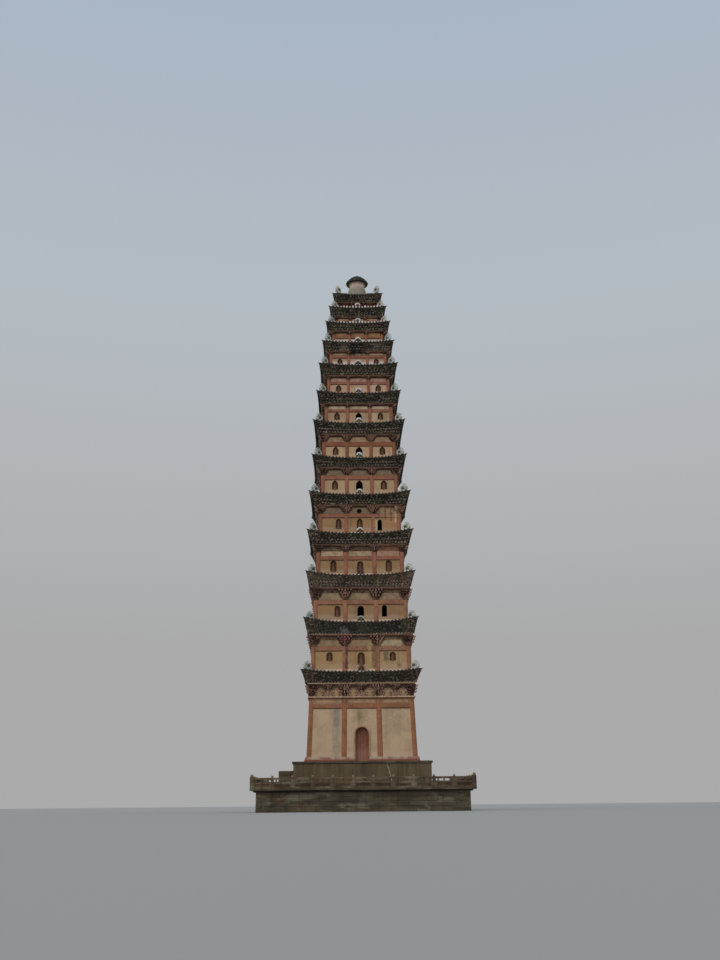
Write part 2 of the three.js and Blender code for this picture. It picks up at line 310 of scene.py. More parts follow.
def band(build, outer, inner, d0, d1):
    """A flat frame between two outlines."""
    loop = [upright(outline, d) for outline, d in ((outer, d0), (outer, d1), (inner, d1), (inner, d0))]
    build.loft([*loop, loop[0]], low_cap=False, high_cap=False)


def ground_lean(build):
    """The first storey leans in towards its head."""
    build.points = [
        (x * (1 - share), y * (1 - share), z)
        for x, y, z, share in (
            (*point, GROUND_LEAN * min(1, max(0, (point[2] - ground.foot) / (ground.top - ground.foot))))
            for point in build.points
        )
    ]
    return build


def mesh_of(name, build, materials):
    mesh = bpy.data.meshes.new(name)
    mesh.from_pydata(build.points, [], build.faces)
    for material in materials:
        mesh.materials.append(material)
    mesh.polygons.foreach_set("material_index", build.paints)
    return mesh


def piece(name, mesh, replaces=(), body="tower", smooth=None):
    """Turns a mesh into a piece of the pagoda that rides on a body."""
    mesh.validate()
    if smooth:
        mesh.polygons.foreach_set("use_smooth", [True] * len(mesh.polygons))
        mesh.set_sharp_from_angle(angle=math.radians(smooth))
    mesh.update()
    obj = bpy.data.objects.new(name, mesh)
    bpy.context.scene.collection.objects.link(obj)
    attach(obj, body)
    if replaces:
        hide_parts(*replaces)
    return obj


def show(name, build, materials, replaces=(), body="tower", smooth=None):
    return piece(name, mesh_of(name, build, materials), replaces, body, smooth)


def cut(name, solid, cutters, materials, face_at, room):
    """The mesh of a solid less its closed cutters. Reveals take the second material, rooms the third."""
    target = bpy.data.objects.new(name + "_solid", mesh_of(name, solid, materials))
    tools = []
    for cutter in cutters:
        tools.append(bpy.data.objects.new(name + "_cutter", mesh_of(name + "_cutter", cutter, materials)))
    for obj in (target, *tools):
        bpy.context.scene.collection.objects.link(obj)
    for tool in tools:
        modifier = target.modifiers.new("cut", "BOOLEAN")
        modifier.operation = "DIFFERENCE"
        modifier.solver = "EXACT"
        modifier.object = tool
    view = bpy.context.evaluated_depsgraph_get()
    result = bpy.data.meshes.new_from_object(target.evaluated_get(view))
    for obj in (target, *tools):
        bpy.data.objects.remove(obj)
    for face in result.polygons:
        depth = max(abs(face.center.x), abs(face.center.y))
        face.material_index = 0 if depth > face_at(face.center.z) else 1 if depth > room + 0.02 else 2
    return result


# Materials, all from the place of a point on the object

FRONT_FACE = (-0.8, -1.2)
BRICK_JOINT = 0.008


def tone(red, green, blue):
    """A linear colour from the sRGB values of a surface in full white light."""
    return (*(((value / 255 + 0.055) / 1.055) ** 2.4 for value in (red, green, blue)), 1.0)


def dimmed(colour, share):
    return (*(value * share for value in colour[:3]), 1.0)


class Finish:
    """One procedural material and the few kinds of node that these finishes use."""

    def __init__(self, name, roughness, gloss=0.2, stains=()):
        self.stains = stains
        self.material = bpy.data.materials.new(name)
        self.material.use_nodes = True
        self.tree = self.material.node_tree
        self.shader = self.tree.nodes["Principled BSDF"]
        self.shader.inputs["Roughness"].default_value = roughness
        self.shader.inputs["Specular IOR Level"].default_value = gloss
        self.place = self.node("ShaderNodeTexCoord").outputs["Object"]
        self.x, self.y, self.z = self.node("ShaderNodeSeparateXYZ", Vector=self.place).outputs

    def node(self, kind, settings=None, **inputs):
        made = self.tree.nodes.new(kind)
        for key, value in (settings or {}).items():
            setattr(made, key, value)
        for key, value in inputs.items():
            self.feed(made.inputs[key.replace("_", " ")], value)
        return made

    def feed(self, socket, value):
        if isinstance(value, bpy.types.NodeSocket):
            self.tree.links.new(value, socket)
        else:
            socket.default_value = value

    def apply(self, operation, a, b=0.0):
        made = self.node("ShaderNodeMath", {"operation": operation})
        self.feed(made.inputs[0], a)
        self.feed(made.inputs[1], b)
        return made.outputs[0]

    def times(self, *values):
        product = values[0]
        for value in values[1:]:
            product = self.apply("MULTIPLY", product, value)
        return product

    def noise(self, scale, detail=4.0, stretch=(1, 1, 1), shift=0.0):
        place = self.node("ShaderNodeMapping", Vector=self.place, Scale=stretch, Location=(shift,) * 3)
        cloud = self.node("ShaderNodeTexNoise", Vector=place.outputs[0], Scale=scale, Detail=detail,
                          Roughness=0.6)
        return cloud.outputs["Fac"]

    def step(self, value, low, high, *shares):
        """0 at low and 1 at high, smooth between, and times the shares."""
        made = self.node("ShaderNodeMapRange", {"interpolation_type": "SMOOTHSTEP"}, Value=value,
                         From_Min=low, From_Max=high)
        return self.times(made.outputs["Result"], *shares)

    def within(self, value, low, high, soft):
        return self.step(value, low - soft, low + soft, self.step(value, high + soft, high - soft))

    def front(self):
        """1 on the front face alone."""
        return self.step(self.y, *FRONT_FACE)

    def patch(self, x0, x1, z0, z1):
        """A ragged area of the front face, with an edge in keeping with its size."""
        size = min(x1 - x0, z1 - z0)
        soft = 0.24 * size
        cloud = self.noise(max(3.2, 1.8 / size), 5, shift=z0)
        push = self.times(self.apply("SUBTRACT", cloud, 0.5), 1.3 * size)
        across = self.within(self.apply("ADD", self.x, push), x0, x1, soft)
        up = self.within(self.apply("ADD", self.z, push), z0, z1, soft)
        return self.times(across, up, self.front())

    def stained(self, colour):
        """Listed areas of another colour: x from and to, z from and to, the colour and its share."""
        for x0, x1, z0, z1, stain, share in self.stains:
            spots = self.step(self.noise(6.0, 5, shift=x0), 0.3, 0.5) if share < 1 else 1.0
            colour = self.blend(colour, stain, self.times(self.patch(x0, x1, z0, z1), spots, share))
        return colour

    def blend(self, low, high, share):
        made = self.node("ShaderNodeMix", {"data_type": "RGBA"})
        for socket, value in ((0, share), (6, low), (7, high)):
            self.feed(made.inputs[socket], value)
        return made.outputs[2]

    def over(self, base, *layers):
        """Colours over a first one, each with its mask. A number is the first colour, dimmed by it."""
        colour = base
        for other, mask in layers:
            colour = self.blend(colour, other if isinstance(other, tuple) else dimmed(base, other), mask)
        return colour

    def courses(self, width, height):
        """Brick courses round all four sides: the share that is joint, and a number for each brick."""
        along = self.apply("ADD", self.x, self.y)
        run = self.node("ShaderNodeCombineXYZ", X=along, Y=self.z)
        made = self.node(
            "ShaderNodeTexBrick", Vector=run.outputs[0], Color1=(0, 0, 0, 1), Color2=(1, 1, 1, 1), Scale=1.0,
            Mortar=(0.5, 0.5, 0.5, 1), Mortar_Size=BRICK_JOINT, Mortar_Smooth=0.3,
            Brick_Width=width, Row_Height=height,
        )
        return made.outputs["Fac"], made.outputs["Color"]

    def finish(self, colour, relief, depth):
        self.feed(self.shader.inputs["Base Color"], self.stained(colour))
        bump = self.node("ShaderNodeBump", Height=relief, Distance=depth, Strength=0.8)
        self.feed(self.shader.inputs["Normal"], bump.outputs["Normal"])
        return self.material


GRIME, MOSS, SOOT, CHALK = tone(92, 78, 62), tone(82, 98, 54), tone(52, 46, 38), tone(214, 204, 188)
SKIRT, WHITE_SKIRT = tone(232, 204, 180), tone(244, 234, 226)


def plaster(storey, base, stains):
    """Lime plaster with mottling, rain streaks, a paler skirt at the foot, dirt under the beam, and listed
    stains.
    """
    paint = Finish(f"plaster_{storey.name}", 0.92, stains=stains)
    broad, fine = paint.noise(0.9, shift=storey.number), paint.noise(11, 5)
    streaks = paint.noise(1.0, stretch=(3.2, 3.2, 0.22), shift=storey.number)
    skirt, skirt_share = (WHITE_SKIRT, 0.7) if storey.number > PINK_FROM else (SKIRT, 0.22)
    height = paint.apply("ADD", paint.z, paint.times(broad, 0.3))
    wet = paint.step(streaks, 0.4, 0.6)
    colour = paint.over(
        base,
        (0.84, paint.step(broad, 0.4, 0.66)),
        (1.12, paint.step(fine, 0.5, 0.7, 0.6)),
        (GRIME, paint.step(streaks, 0.54, 0.76, 0.4)),
        (skirt, paint.step(height, storey.foot + 0.55, storey.foot + 0.3, skirt_share)),
        (0.6, paint.step(paint.z, storey.beam_foot - 0.2, storey.beam_foot, wet, 0.6)),
        (0.5, paint.step(paint.noise(4.5, 5, shift=9.0), 0.66, 0.72, 0.5)),
    )
    return paint.finish(colour, paint.apply("ADD", paint.times(broad, 1.4), paint.times(fine, 0.5)), 0.02)


def terracotta(name, base, worn, stains=()):
    """Red-brown limewash on round columns and beams, rubbed pale in places and dark where water runs."""
    paint = Finish(name, 0.85, stains=stains)
    broad, fine = paint.noise(1.7), paint.noise(14, 5)
    streaks = paint.noise(1.3, stretch=(4, 4, 0.3), shift=5.0)
    colour = paint.over(
        base,
        (0.76, paint.step(broad, 0.42, 0.64)),
        (worn, paint.step(fine, 0.52, 0.68, 0.55)),
        (GRIME, paint.step(streaks, 0.56, 0.74, 0.5)),
    )
    return paint.finish(colour, paint.apply("ADD", fine, broad), 0.012)


def band_brick(name, base, remains, share, stains=()):
    """Dark bricks that keep remains of paint."""
    paint = Finish(name, 0.9, stains=stains)
    joint, each = paint.courses(0.3, 0.065)
    broad, fine = paint.noise(2.2), paint.noise(9, 5)
    colour = paint.over(
        base,
        (0.55, paint.step(each, 0.2, 0.9)),
        (remains, paint.step(broad, 0.48, 0.6, share)),
        (dimmed(remains, 1.2), paint.step(fine, 0.55, 0.64, share)),
        (SOOT, paint.times(joint, 0.6)),
    )
    return paint.finish(colour, paint.apply("SUBTRACT", fine, joint), 0.012)


def mossy_brick(name, base, moss, speck, share, stains=(), corner=None):
    """Old dark brick with moss, soot and specks of lime. Paler marks lie near a corner that is given."""
    paint = Finish(name, 0.93, stains=stains)
    joint, each = paint.courses(0.26, 0.075)
    broad, patchy, fine = paint.noise(0.7), paint.noise(2.6, 5, shift=3.0), paint.noise(8.5, 5)
    layers = [
        (0.5, paint.step(each, 0.1, 0.9)),
        (moss, paint.step(broad, 0.42, 0.6, paint.step(patchy, 0.4, 0.6), 0.75)),
        (SOOT, paint.step(paint.noise(1.2, shift=7.0), 0.46, 0.64, 0.8)),
        (speck, paint.step(fine, 0.56, 0.62, share)),
    ]
    if corner:
        near = paint.apply("MINIMUM", paint.apply("ABSOLUTE", paint.x), paint.apply("ABSOLUTE", paint.y))
        marks = paint.step(near, 0.7 * corner, 0.86 * corner, paint.step(fine, 0.46, 0.56), 0.4)
        layers.append((tone(156, 130, 110), marks))
    colour = paint.over(base, *layers, (dimmed(SOOT, 0.7), paint.times(joint, 0.3)))
    return paint.finish(colour, paint.apply("SUBTRACT", fine, joint), 0.015)


def clay_tile():
    paint = Finish("roof_tile", 0.85, gloss=0.3)
    broad, fine, lengths = paint.noise(1.1), paint.noise(23), paint.noise(6, 3, stretch=(1, 1, 0.4))
    colour = paint.over(
        tone(84, 84, 74),
        (tone(54, 52, 46), paint.step(lengths, 0.4, 0.6)),
        (MOSS, paint.step(broad, 0.45, 0.62, 0.65)),
        (tone(128, 126, 110), paint.step(fine, 0.58, 0.7, 0.6)),
    )
    return paint.finish(colour, paint.apply("ADD", fine, lengths), 0.01)


def speckled(name, base, dark, share, stains=()):
    """A surface with dark weather stains, such as lime over tile ends and ridge ornaments."""
    paint = Finish(name, 0.88, stains=stains)
    broad, fine = paint.noise(3.2, 5), paint.noise(16, 5)
    colour = paint.over(
        base,
        (0.7, paint.step(broad, 0.42, 0.62)),
        (dark, paint.step(fine, 0.5, 0.66, share)),
    )
    return paint.finish(colour, fine, 0.012)


def ashlar(name, base, reddish, lichen):
    """Squared sandstone blocks of changing shade, with lichen, red stains and dark runs."""
    paint = Finish(name, 0.93)
    each = paint.noise(0.8, 1, stretch=(1, 1, 3.4), shift=2.0)
    broad, fine = paint.noise(1.5, 5, stretch=(0.6, 0.6, 2.2), shift=4.0), paint.noise(18, 6)
    runs = paint.noise(1.1, stretch=(3, 3, 0.3), shift=6.0)
    colour = paint.over(
        base,
        (0.68, paint.step(each, 0.4, 0.6)),
        (reddish, paint.step(paint.noise(0.9, shift=8.0), 0.52, 0.66, 0.6)),
        (lichen, paint.step(broad, 0.5, 0.62, 0.65)),
        (SOOT, paint.step(runs, 0.54, 0.72, 0.6)),
        (1.5, paint.step(fine, 0.58, 0.72, 0.5)),
    )
    return paint.finish(colour, paint.apply("ADD", fine, paint.times(broad, 0.6)), 0.02)


CRACK_PLACE, CRACK_WIDTH, CRACK_SLANT = 1.42, 0.035, -0.26


def rendered_plinth():
    """Cement render on the upper tier: vertical runs of damp, moss at the foot and one white crack."""
    paint = Finish("upper_plinth_render", 0.9)
    broad, fine = paint.noise(0.8), paint.noise(20, 5)
    runs = paint.noise(1.0, 5, stretch=(4.5, 4.5, 0.18), shift=1.0)
    drift = paint.times(paint.apply("SUBTRACT", paint.noise(3.0, shift=3.0), 0.5), 0.3)
    slant = paint.times(paint.apply("SUBTRACT", paint.z, UPPER_TOP), CRACK_SLANT)
    centre = paint.apply("ADD", paint.apply("ADD", slant, drift), CRACK_PLACE)
    distance = paint.apply("ABSOLUTE", paint.apply("SUBTRACT", paint.x, centre))
    colour = paint.over(
        tone(113, 98, 76),
        (0.74, paint.step(broad, 0.4, 0.62)),
        (0.5, paint.step(runs, 0.5, 0.7, 0.8)),
        (1.35, paint.step(runs, 0.46, 0.34, 0.5)),
        (MOSS, paint.step(paint.z, DECK + 0.5, DECK + 0.05, 0.35)),
        (CHALK, paint.step(distance, CRACK_WIDTH, 0.3 * CRACK_WIDTH, paint.front(), 0.55)),
    )
    return paint.finish(colour, paint.apply("ADD", fine, paint.times(runs, 0.8)), 0.012)


def base_plaster():
    """The moulding at the wall's foot: pink and cream plaster over a dark red edge."""
    paint = Finish("base_moulding", 0.9)
    broad, fine = paint.noise(1.8), paint.noise(13, 5)
    height = paint.apply("ADD", paint.z, paint.times(fine, 0.03))
    colour = paint.over(
        tone(166, 122, 104),
        (tone(190, 168, 144), paint.step(broad, 0.42, 0.58)),
        (tone(120, 84, 68), paint.step(fine, 0.55, 0.68, 0.7)),
        (tone(146, 90, 74), paint.step(height, UPPER_TOP + 0.16, UPPER_TOP + 0.12)),
    )
    return paint.finish(colour, fine, 0.015)


def door_timber():
    """Red-brown paint on boards, rubbed in places, and paler towards the foot as painted light."""
    paint = Finish("door_timber", 0.7, gloss=0.35)
    grain, worn = paint.noise(3.0, 5, stretch=(14, 14, 0.7)), paint.noise(5.0, shift=2.0)
    colour = paint.over(
        tone(152, 96, 72),
        (0.84, paint.step(grain, 0.42, 0.62)),
        (tone(168, 116, 94), paint.step(worn, 0.52, 0.66, 0.5)),
        # Paler towards the foot: painted light where the doorway lets light onto the leaf.
        (tone(186, 138, 116), paint.step(paint.z, UPPER_TOP + 1.0, UPPER_TOP + 0.45, 0.6)),
    )
    return paint.finish(colour, grain, 0.004)


def old_iron():
    paint = Finish("old_iron", 0.6, gloss=0.5)
    paint.shader.inputs["Metallic"].default_value = 0.7
    rust = paint.noise(30, 5)
    colour = paint.over(tone(66, 60, 56), (tone(120, 74, 50), paint.step(rust, 0.45, 0.62)))
    return paint.finish(colour, rust, 0.002)


def finial_plaster(low, high):
    """Whitewash gone green below and pink above, with dark runs, and darker at the neck under the cap as
    painted shade.
    """
    paint = Finish("finial_plaster", 0.85)
    broad, fine = paint.noise(2.4), paint.noise(15, 5)
    runs = paint.noise(1.6, stretch=(4, 4, 0.3), shift=4.0)
    height = paint.apply("ADD", paint.z, paint.times(broad, 0.4))
    colour = paint.over(
        tone(160, 150, 133),
        (tone(248, 214, 198), paint.step(height, low + 0.8, low + 1.25)),
        (tone(118, 116, 92), paint.step(runs, 0.5, 0.68, 0.7)),
        (CHALK, paint.step(fine, 0.54, 0.68, 0.5)),
        # Darker under the cap: painted shade under its rim.
        (tone(120, 92, 80), paint.step(paint.z, high - 0.2, high - 0.02, 0.6)),
    )
    return paint.finish(colour, paint.apply("ADD", fine, broad), 0.015)


INSIDE = band_brick("inner_brick", tone(120, 92, 70), tone(140, 120, 100), 0.3)
NICHE = terracotta("niche", tone(104, 74, 54), tone(124, 90, 68))
FIGURE = terracotta("niche_figure", tone(118, 84, 64), tone(140, 102, 80))
DOOR_ARCH = speckled("door_arch", tone(186, 152, 122), tone(150, 118, 92), 0.5)
# Pale brick for the angled teeth: the pale tone is a painted highlight on their points; the moss, soot and
# lime specks are real.
TEETH_HIGHLIGHTED = mossy_brick("corbel_teeth_painted_highlight", tone(206, 180, 158), tone(110, 102, 80), tone(230, 210, 192), 0.8)
TILE = clay_tile()
TILE_EDGE = speckled("tile_edge", tone(76, 70, 62), tone(48, 44, 40), 0.6)
ORNAMENT = speckled("ridge_ornament", tone(214, 213, 204), tone(74, 75, 69), 0.8)
CAP_EDGE = speckled("cap_tile_end", tone(132, 80, 70), tone(58, 50, 46), 0.6)
# Dark plate in the scrolls' hearts: painted shade in the coil's hollow.
SCROLL_HEART_SHADE = speckled("scroll_heart_painted_shade", tone(98, 96, 84), tone(54, 52, 46), 0.6)
# Dark stone for the fillet under the coping: painted shadow, with lichen and red stains on it.
SHADED_FILLET_STONE = ashlar("painted_shade_fillet_stone", tone(58, 52, 44), tone(72, 50, 42), tone(70, 70, 58))
STONE = ashlar("platform_stone", tone(96, 87, 70), tone(106, 80, 63), tone(134, 130, 106))
CAP_STONE = ashlar("cap_stone", tone(96, 84, 70), tone(104, 76, 62), tone(112, 112, 90))
RAIL_STONE = ashlar("rail_stone", tone(104, 89, 71), tone(116, 84, 65), tone(136, 128, 108))
PAVING = ashlar("deck_paving", tone(130, 122, 106), tone(132, 108, 90), tone(132, 132, 110))
RAIL_FIELD = ashlar("rail_field", tone(80, 62, 48), tone(98, 66, 50), tone(100, 86, 68))
KNOB = speckled("knob_stone", tone(158, 144, 122), tone(96, 84, 68), 0.5)


# Walls


def pair(at, *size):
    return (-at, *size), (at, *size)


# Openings of each storey: place across the half width, width, height and the head's drop below the beam
WINDOWS = {
    3: ((0, 0.42, 0.65, 0.09), (0.5, 0.32, 0.74, 0.05)), 5: ((0.48, 0.29, 0.77, 0.12),),
    6: ((0, 0.45, 0.65, 0.05),), 7: ((0, 0.47, 0.6, 0.05),), 8: ((0, 0.41, 0.53, 0.05),),
}
NICHES = {
    2: (*pair(0.63, 0.39, 0.54, 0.08), (0, 0.45, 0.76, 0.1)), 3: ((-0.49, 0.38, 0.68, 0.09),),
    4: ((-0.61, 0.4, 0.73, 0.03), (0, 0.4, 0.7, 0.09), (0.65, 0.4, 0.73, 0.03)),
    5: ((-0.51, 0.38, 0.7, 0.06), (0, 0.38, 0.7, 0.06)), 6: pair(0.635, 0.41, 0.62, 0.05),
    7: pair(0.635, 0.39, 0.56, 0.04), 8: pair(0.635, 0.38, 0.53, 0.04), 9: pair(0.635, 0.38, 0.48, 0.04),
    10: pair(0.635, 0.36, 0.38, 0.04),
}
POINTED_FROM = 5
NICHE_DEPTH = 0.13
DOOR_WIDTH, DOOR_TOP, REVEAL = 0.84, 4.88, 0.35
PASSAGE_WIDTH, PASSAGE_TOP = 1.06, 5.02
ARCHIVOLT_WIDTH, ARCHIVOLT_REACH, ARCHIVOLT_COVER, ARCHIVOLT_ROOT = 0.07, 0.03, 0.01, 0.2
DOOR_ARCH_STEPS = 24
VENT_STOREY, VENT_PLACE, VENT_RISE, VENT_RADIUS, VENT_DEPTH, VENT_FIELD = 5, -0.03, 0.17, 0.16, 0.4, 0.5
NECK, NECK_DRAW = 0.03, -0.01
COLUMN_SWELL, CORNER_SWELL = 0.006, 0.005
FIGURE_PROFILE = (
    (1.0, 0.0), (1.0, 0.14), (0.62, 0.22), (0.72, 0.44), (0.4, 0.56), (0.34, 0.6), (0.42, 0.7), (0.1, 0.84),
)


def wall_openings(storey):
    """The place, width, foot and head of each opening of one side: open windows first, then blind niches."""
    return [
        [(at * storey.half, width, storey.beam_foot - drop - height, storey.beam_foot - drop)
         for at, width, height, drop in table.get(storey.number, ())]
        for table in (WINDOWS, NICHES)
    ]


def niche_figure(build, x, width, foot, height, face):
    """A plain seated figure, rounded and without features, at the back of a blind niche."""
    radius = 0.34 * width
    profile = [(radius * share, foot + height * up) for share, up in FIGURE_PROFILE]
    build.lathe(profile, 12, (x, -(face - 0.6 * NICHE_DEPTH)))


def upper_wall(storey, plaster_paint):
    solid = Build()
    if storey.number <= HOLLOW_STOREYS:
        solid.sleeve(storey.panel, storey.room, storey.foot, storey.top)
    else:
        solid.loft([square_ring(storey.panel, storey.foot), square_ring(storey.panel, storey.top)])
    pointed, outside = storey.number >= POINTED_FROM, storey.half + RELIEF
    cutters, figures = Build(), Build()
    windows, niches = wall_openings(storey)
    for opening in windows:
        cutters.prism(arch_outline(*opening, pointed), storey.room - RELIEF, outside)
    for opening in niches:
        x, width, foot, head = opening
        cutters.prism(arch_outline(*opening, pointed), storey.panel - NICHE_DEPTH, outside)
        niche_figure(figures, x, width, foot, head - foot, storey.panel)
    if storey.number == VENT_STOREY:
        centre = storey.beam_top + VENT_RISE
        ring = [(VENT_PLACE + VENT_RADIUS * math.cos(a), centre + VENT_RADIUS * math.sin(a))
                for a in turns(20)]
        cutters.prism(ring, storey.panel - VENT_DEPTH, outside)
    name = f"wall_{storey.name}_plaster"
    if cutters.points:
        face = storey.panel - 0.01
        paints = (plaster_paint, NICHE, INSIDE)
        mesh = cut(name, solid, [cutters.around()], paints, lambda z: face, storey.room)
    else:
        mesh = mesh_of(name, solid, (plaster_paint,))
    piece(name, mesh, (f"wall_{storey.name}",))
    if figures.points:
        show(f"niche_figures_{storey.name}", figures.around(), (FIGURE,), smooth=60)


def passage_cutter(foot, top):
    """The way through the wall behind the leaf, wider than the doorway in front of it."""
    passage = Build()
    passage.block(-PASSAGE_WIDTH / 2, PASSAGE_WIDTH / 2, ground.room * 0.9, ground.panel - REVEAL, foot, top)
    return passage


def ground_wall(plaster_paint):
    solid = Build()
    solid.sleeve(ground.panel, ground.room, ground.foot, ground.top)
    ground_lean(solid)
    doorway = Build()
    outline = arch_outline(0, DOOR_WIDTH, ground.foot - 0.1, DOOR_TOP, False, DOOR_ARCH_STEPS)
    doorway.prism(outline, ground.panel - REVEAL - 0.05, ground.half + 0.1)
    cutters = (doorway, passage_cutter(ground.foot - 0.1, PASSAGE_TOP))
    lean = GROUND_LEAN / (ground.top - ground.foot)

    def face_at(z):
        return ground.panel * (1 - lean * (z - ground.foot)) - 0.02
    mesh = cut("wall_01_plaster", solid, cutters, (plaster_paint, NICHE, INSIDE), face_at, ground.room)
    piece("wall_01_plaster", mesh, ("wall_01",))


def column_rings(z0, z1, swell):
    """The height and the growth of a column's rings: straight up to a swelling neck and a drawn-in head."""
    return (z0, 0.0), (z1 - 3 * NECK, 0.0), (z1 - 2 * NECK, swell), (z1 - NECK, swell), (z1, NECK_DRAW)


def half_column(build, x, half, width, z0, z1):
    """An engaged column, proud of the wall."""
    deep = RELIEF + 0.03
    rings = []
    for z, grow in column_rings(z0, z1, COLUMN_SWELL):
        rings.append([
            (x + (width / 2 + grow) * math.cos(a), -(half - deep) + (deep + min(grow, 0)) * math.sin(a), z)
            for a in turns(20)
        ])
    build.loft(rings)


def corner_column(build, half, width, z0, z1):
    radius = width / 2
    profile = [(radius + grow, z) for z, grow in column_rings(z0, z1, CORNER_SWELL)]
    build.lathe(profile, 20, (-half + radius, -half + radius))


# Bracket sets

# The order's paints; the dark line is painted shadow under beams, plate and ledge.
(TERRACOTTA_PAINT, BEAM_PAINT, SHADOW_LINE_PAINT, FRIEZE_PAINT, BRACKET_PAINT, PLAQUE_PAINT, LEDGE_PAINT,
 NOSE_PAINT) = range(8)
BRACKET_BEND, BRACKET_ROOT = 1.4, 0.15
CAP_REACH, ARM_EASE = 0.04, 0.03
BLOCK_FOOT, BLOCK_HEAD = 0.035, 0.05
NOSE = 0.05


def bracket_tiers(half, foot, rise, tiers):
    """For each tier its number, how far it has spread and stepped out, and its foot."""
    for tier in range(1, tiers + 1):
        share = tier / tiers
        out = half + CAP_REACH + (BRACKET_REACH - 0.06) * share
        yield tier, share ** BRACKET_BEND, out, foot + tier * rise


def bracket_set(build, x, width, half, foot, top, spread, tiers=3):
    """A cap block, then arms that step out and apart, each with its pale blocks, and a nose at the middle."""
    rise = (top - foot) / (tiers + 1)
    back = half - BRACKET_ROOT
    build.paint = BRACKET_PAINT
    build.taper(x, 0.38 * width, 0.52 * width, back, half, half + CAP_REACH, foot, foot + rise)
    for tier, bend, out, low in bracket_tiers(half, foot, rise, tiers):
        arm = width * (0.5 + (spread - 0.5) * bend)
        build.paint = BRACKET_PAINT
        build.taper(x, arm - 0.06, arm, back, out - ARM_EASE, out - 0.01, low, low + 0.5 * rise)
        build.paint = NOSE_PAINT
        nose = ((-out + 0.08, 0.1), (-out - 0.03, 0.25), (-out - 0.05, 0.8))
        build.tube([(x, y, low + up * rise) for y, up in nose], (NOSE, NOSE, 0.5 * NOSE), 6)
        for k in range(tier + 2):
            at = x + (2 * k / (tier + 1) - 1) * (arm - 0.05)
            steps = (out - 0.01, out + 0.01, low + 0.5 * rise, low + rise)
            build.taper(at, BLOCK_FOOT, BLOCK_HEAD, back, *steps)


def corner_set(build, half, width, foot, top, spread, tiers=3):
    """The bracket set over a corner column, stepping out along both faces, with noses along the diagonal."""
    rise = (top - foot) / (tiers + 1)

    def plate(out0, out1, back, z0, z1):
        build.paint = BRACKET_PAINT
        build.loft([flat(rectangle(-out, -back, -out, -back), z) for out, z in ((out0, z0), (out1, z1))])
    plate(half, half + CAP_REACH, half - 0.85 * width, foot, foot + rise)
    for tier, bend, out, low in bracket_tiers(half, foot, rise, tiers):
        back = half - width * (0.85 + (spread - 0.5) * bend)
        middle, head = low + 0.5 * rise, low + rise
        plate(out - ARM_EASE, out - 0.01, back, low, middle)
        for k in range(tier + 2):
            at = out - 0.05 - (out - back - 0.1) * k / (tier + 1)
            steps = (out - 0.01, out + 0.01, middle, head)
            build.taper(-at, BLOCK_FOOT, BLOCK_HEAD, half - BRACKET_ROOT, *steps)
            build.loft([
                flat(rectangle(-reach, -half + BRACKET_ROOT, -at - size, -at + size), z)
                for reach, size, z in ((out - 0.01, BLOCK_FOOT, middle), (out + 0.01, BLOCK_HEAD, head))
            ])
        build.paint = NOSE_PAINT
        tip = out + 0.07
        nose = ((-out + 0.1, 0.2), (-out, 0.25), (-tip, 0.42), (-tip - 0.02, 0.8))
        build.tube([(q, q, low + up * rise) for q, up in nose], (NOSE, NOSE, 0.04, 0.015), 6)


# The painted order in front of each wall: how far forms reach back into it and stand out from it

ROOT, DEEP_ROOT = 0.05, 0.1
BEAM_REACH, BEAM_EASE = 0.04, 0.02
LINE_HEIGHT, LINE_REACH = 0.035, 0.018
PLAQUE_REACH, FIELD_REACH = 0.03, 0.012
BAND_FOOT_REACH, BAND_REACH = 0.01, 0.02
SHADOW_COURSE, SHADOW_REACH = 0.045, 0.035
SLIM_STOREYS = (4, 8, 9, 10, 11, 12, 13)
LINTEL, LINTEL_FRAME = (6.28, 6.57), 0.035
PLATE_FOOT, PLATE_TOP, PLATE_REACH = 6.6, 6.72, 0.09
ARCH_RIM, ARCH_HEIGHT = 0.055, 0.5
CURL_STEPS, CURL_SIZE, CURL_LIFT = 12, 0.13, 0.17
PIER_HEIGHT = 0.36


def hill_outline(x0, x1, foot, head, inset, steps=6):
    """A plaque whose ends run up in hollow curves."""
    ends = [(k / steps, 1 - (1 - k / steps) ** 2) for k in range(steps + 1)]
    right = [(x1 - inset * bend, foot + (head - foot) * share) for share, bend in ends]
    left = [(x0 + inset * bend, foot + (head - foot) * share) for share, bend in reversed(ends)]
    return right + left


def ledges(build, storey):
    """The two courses of the ledge under the cornice."""
    inner, middle = storey.head - 0.2, storey.ledge + 0.5 * LEDGE
    build.paint = FRIEZE_PAINT
    build.sleeve(storey.head + 0.07, inner, storey.ledge, middle)
    build.paint = LEDGE_PAINT
    build.sleeve(storey.head + LEDGE_REACH, inner, middle, storey.top)


def bay_beam(build, left, right, face, foot, top):
    """The painted beam of one bay, over a dark line of painted shadow."""
    build.paint = BEAM_PAINT
    build.stone(left, right, face - ROOT, face + BEAM_REACH, foot, top, BEAM_EASE)
    # A dark line under the beam: painted shadow.
    build.paint = SHADOW_LINE_PAINT
    build.block(left, right, face - ROOT, face + LINE_REACH, foot - LINE_HEIGHT, foot)


def bays(storey):
    """The three bays of a side, from column to column."""
    end = storey.half - storey.column / 2
    ends = (-end, -storey.bay, storey.bay, end)
    return list(zip(ends, ends[1:]))


def columns(build, storey, foot, top):
    build.paint = TERRACOTTA_PAINT
    for x in (-storey.bay, storey.bay):
        half_column(build, x, storey.half, storey.column, foot, top)
    corner_column(build, storey.half, storey.column, foot, top)


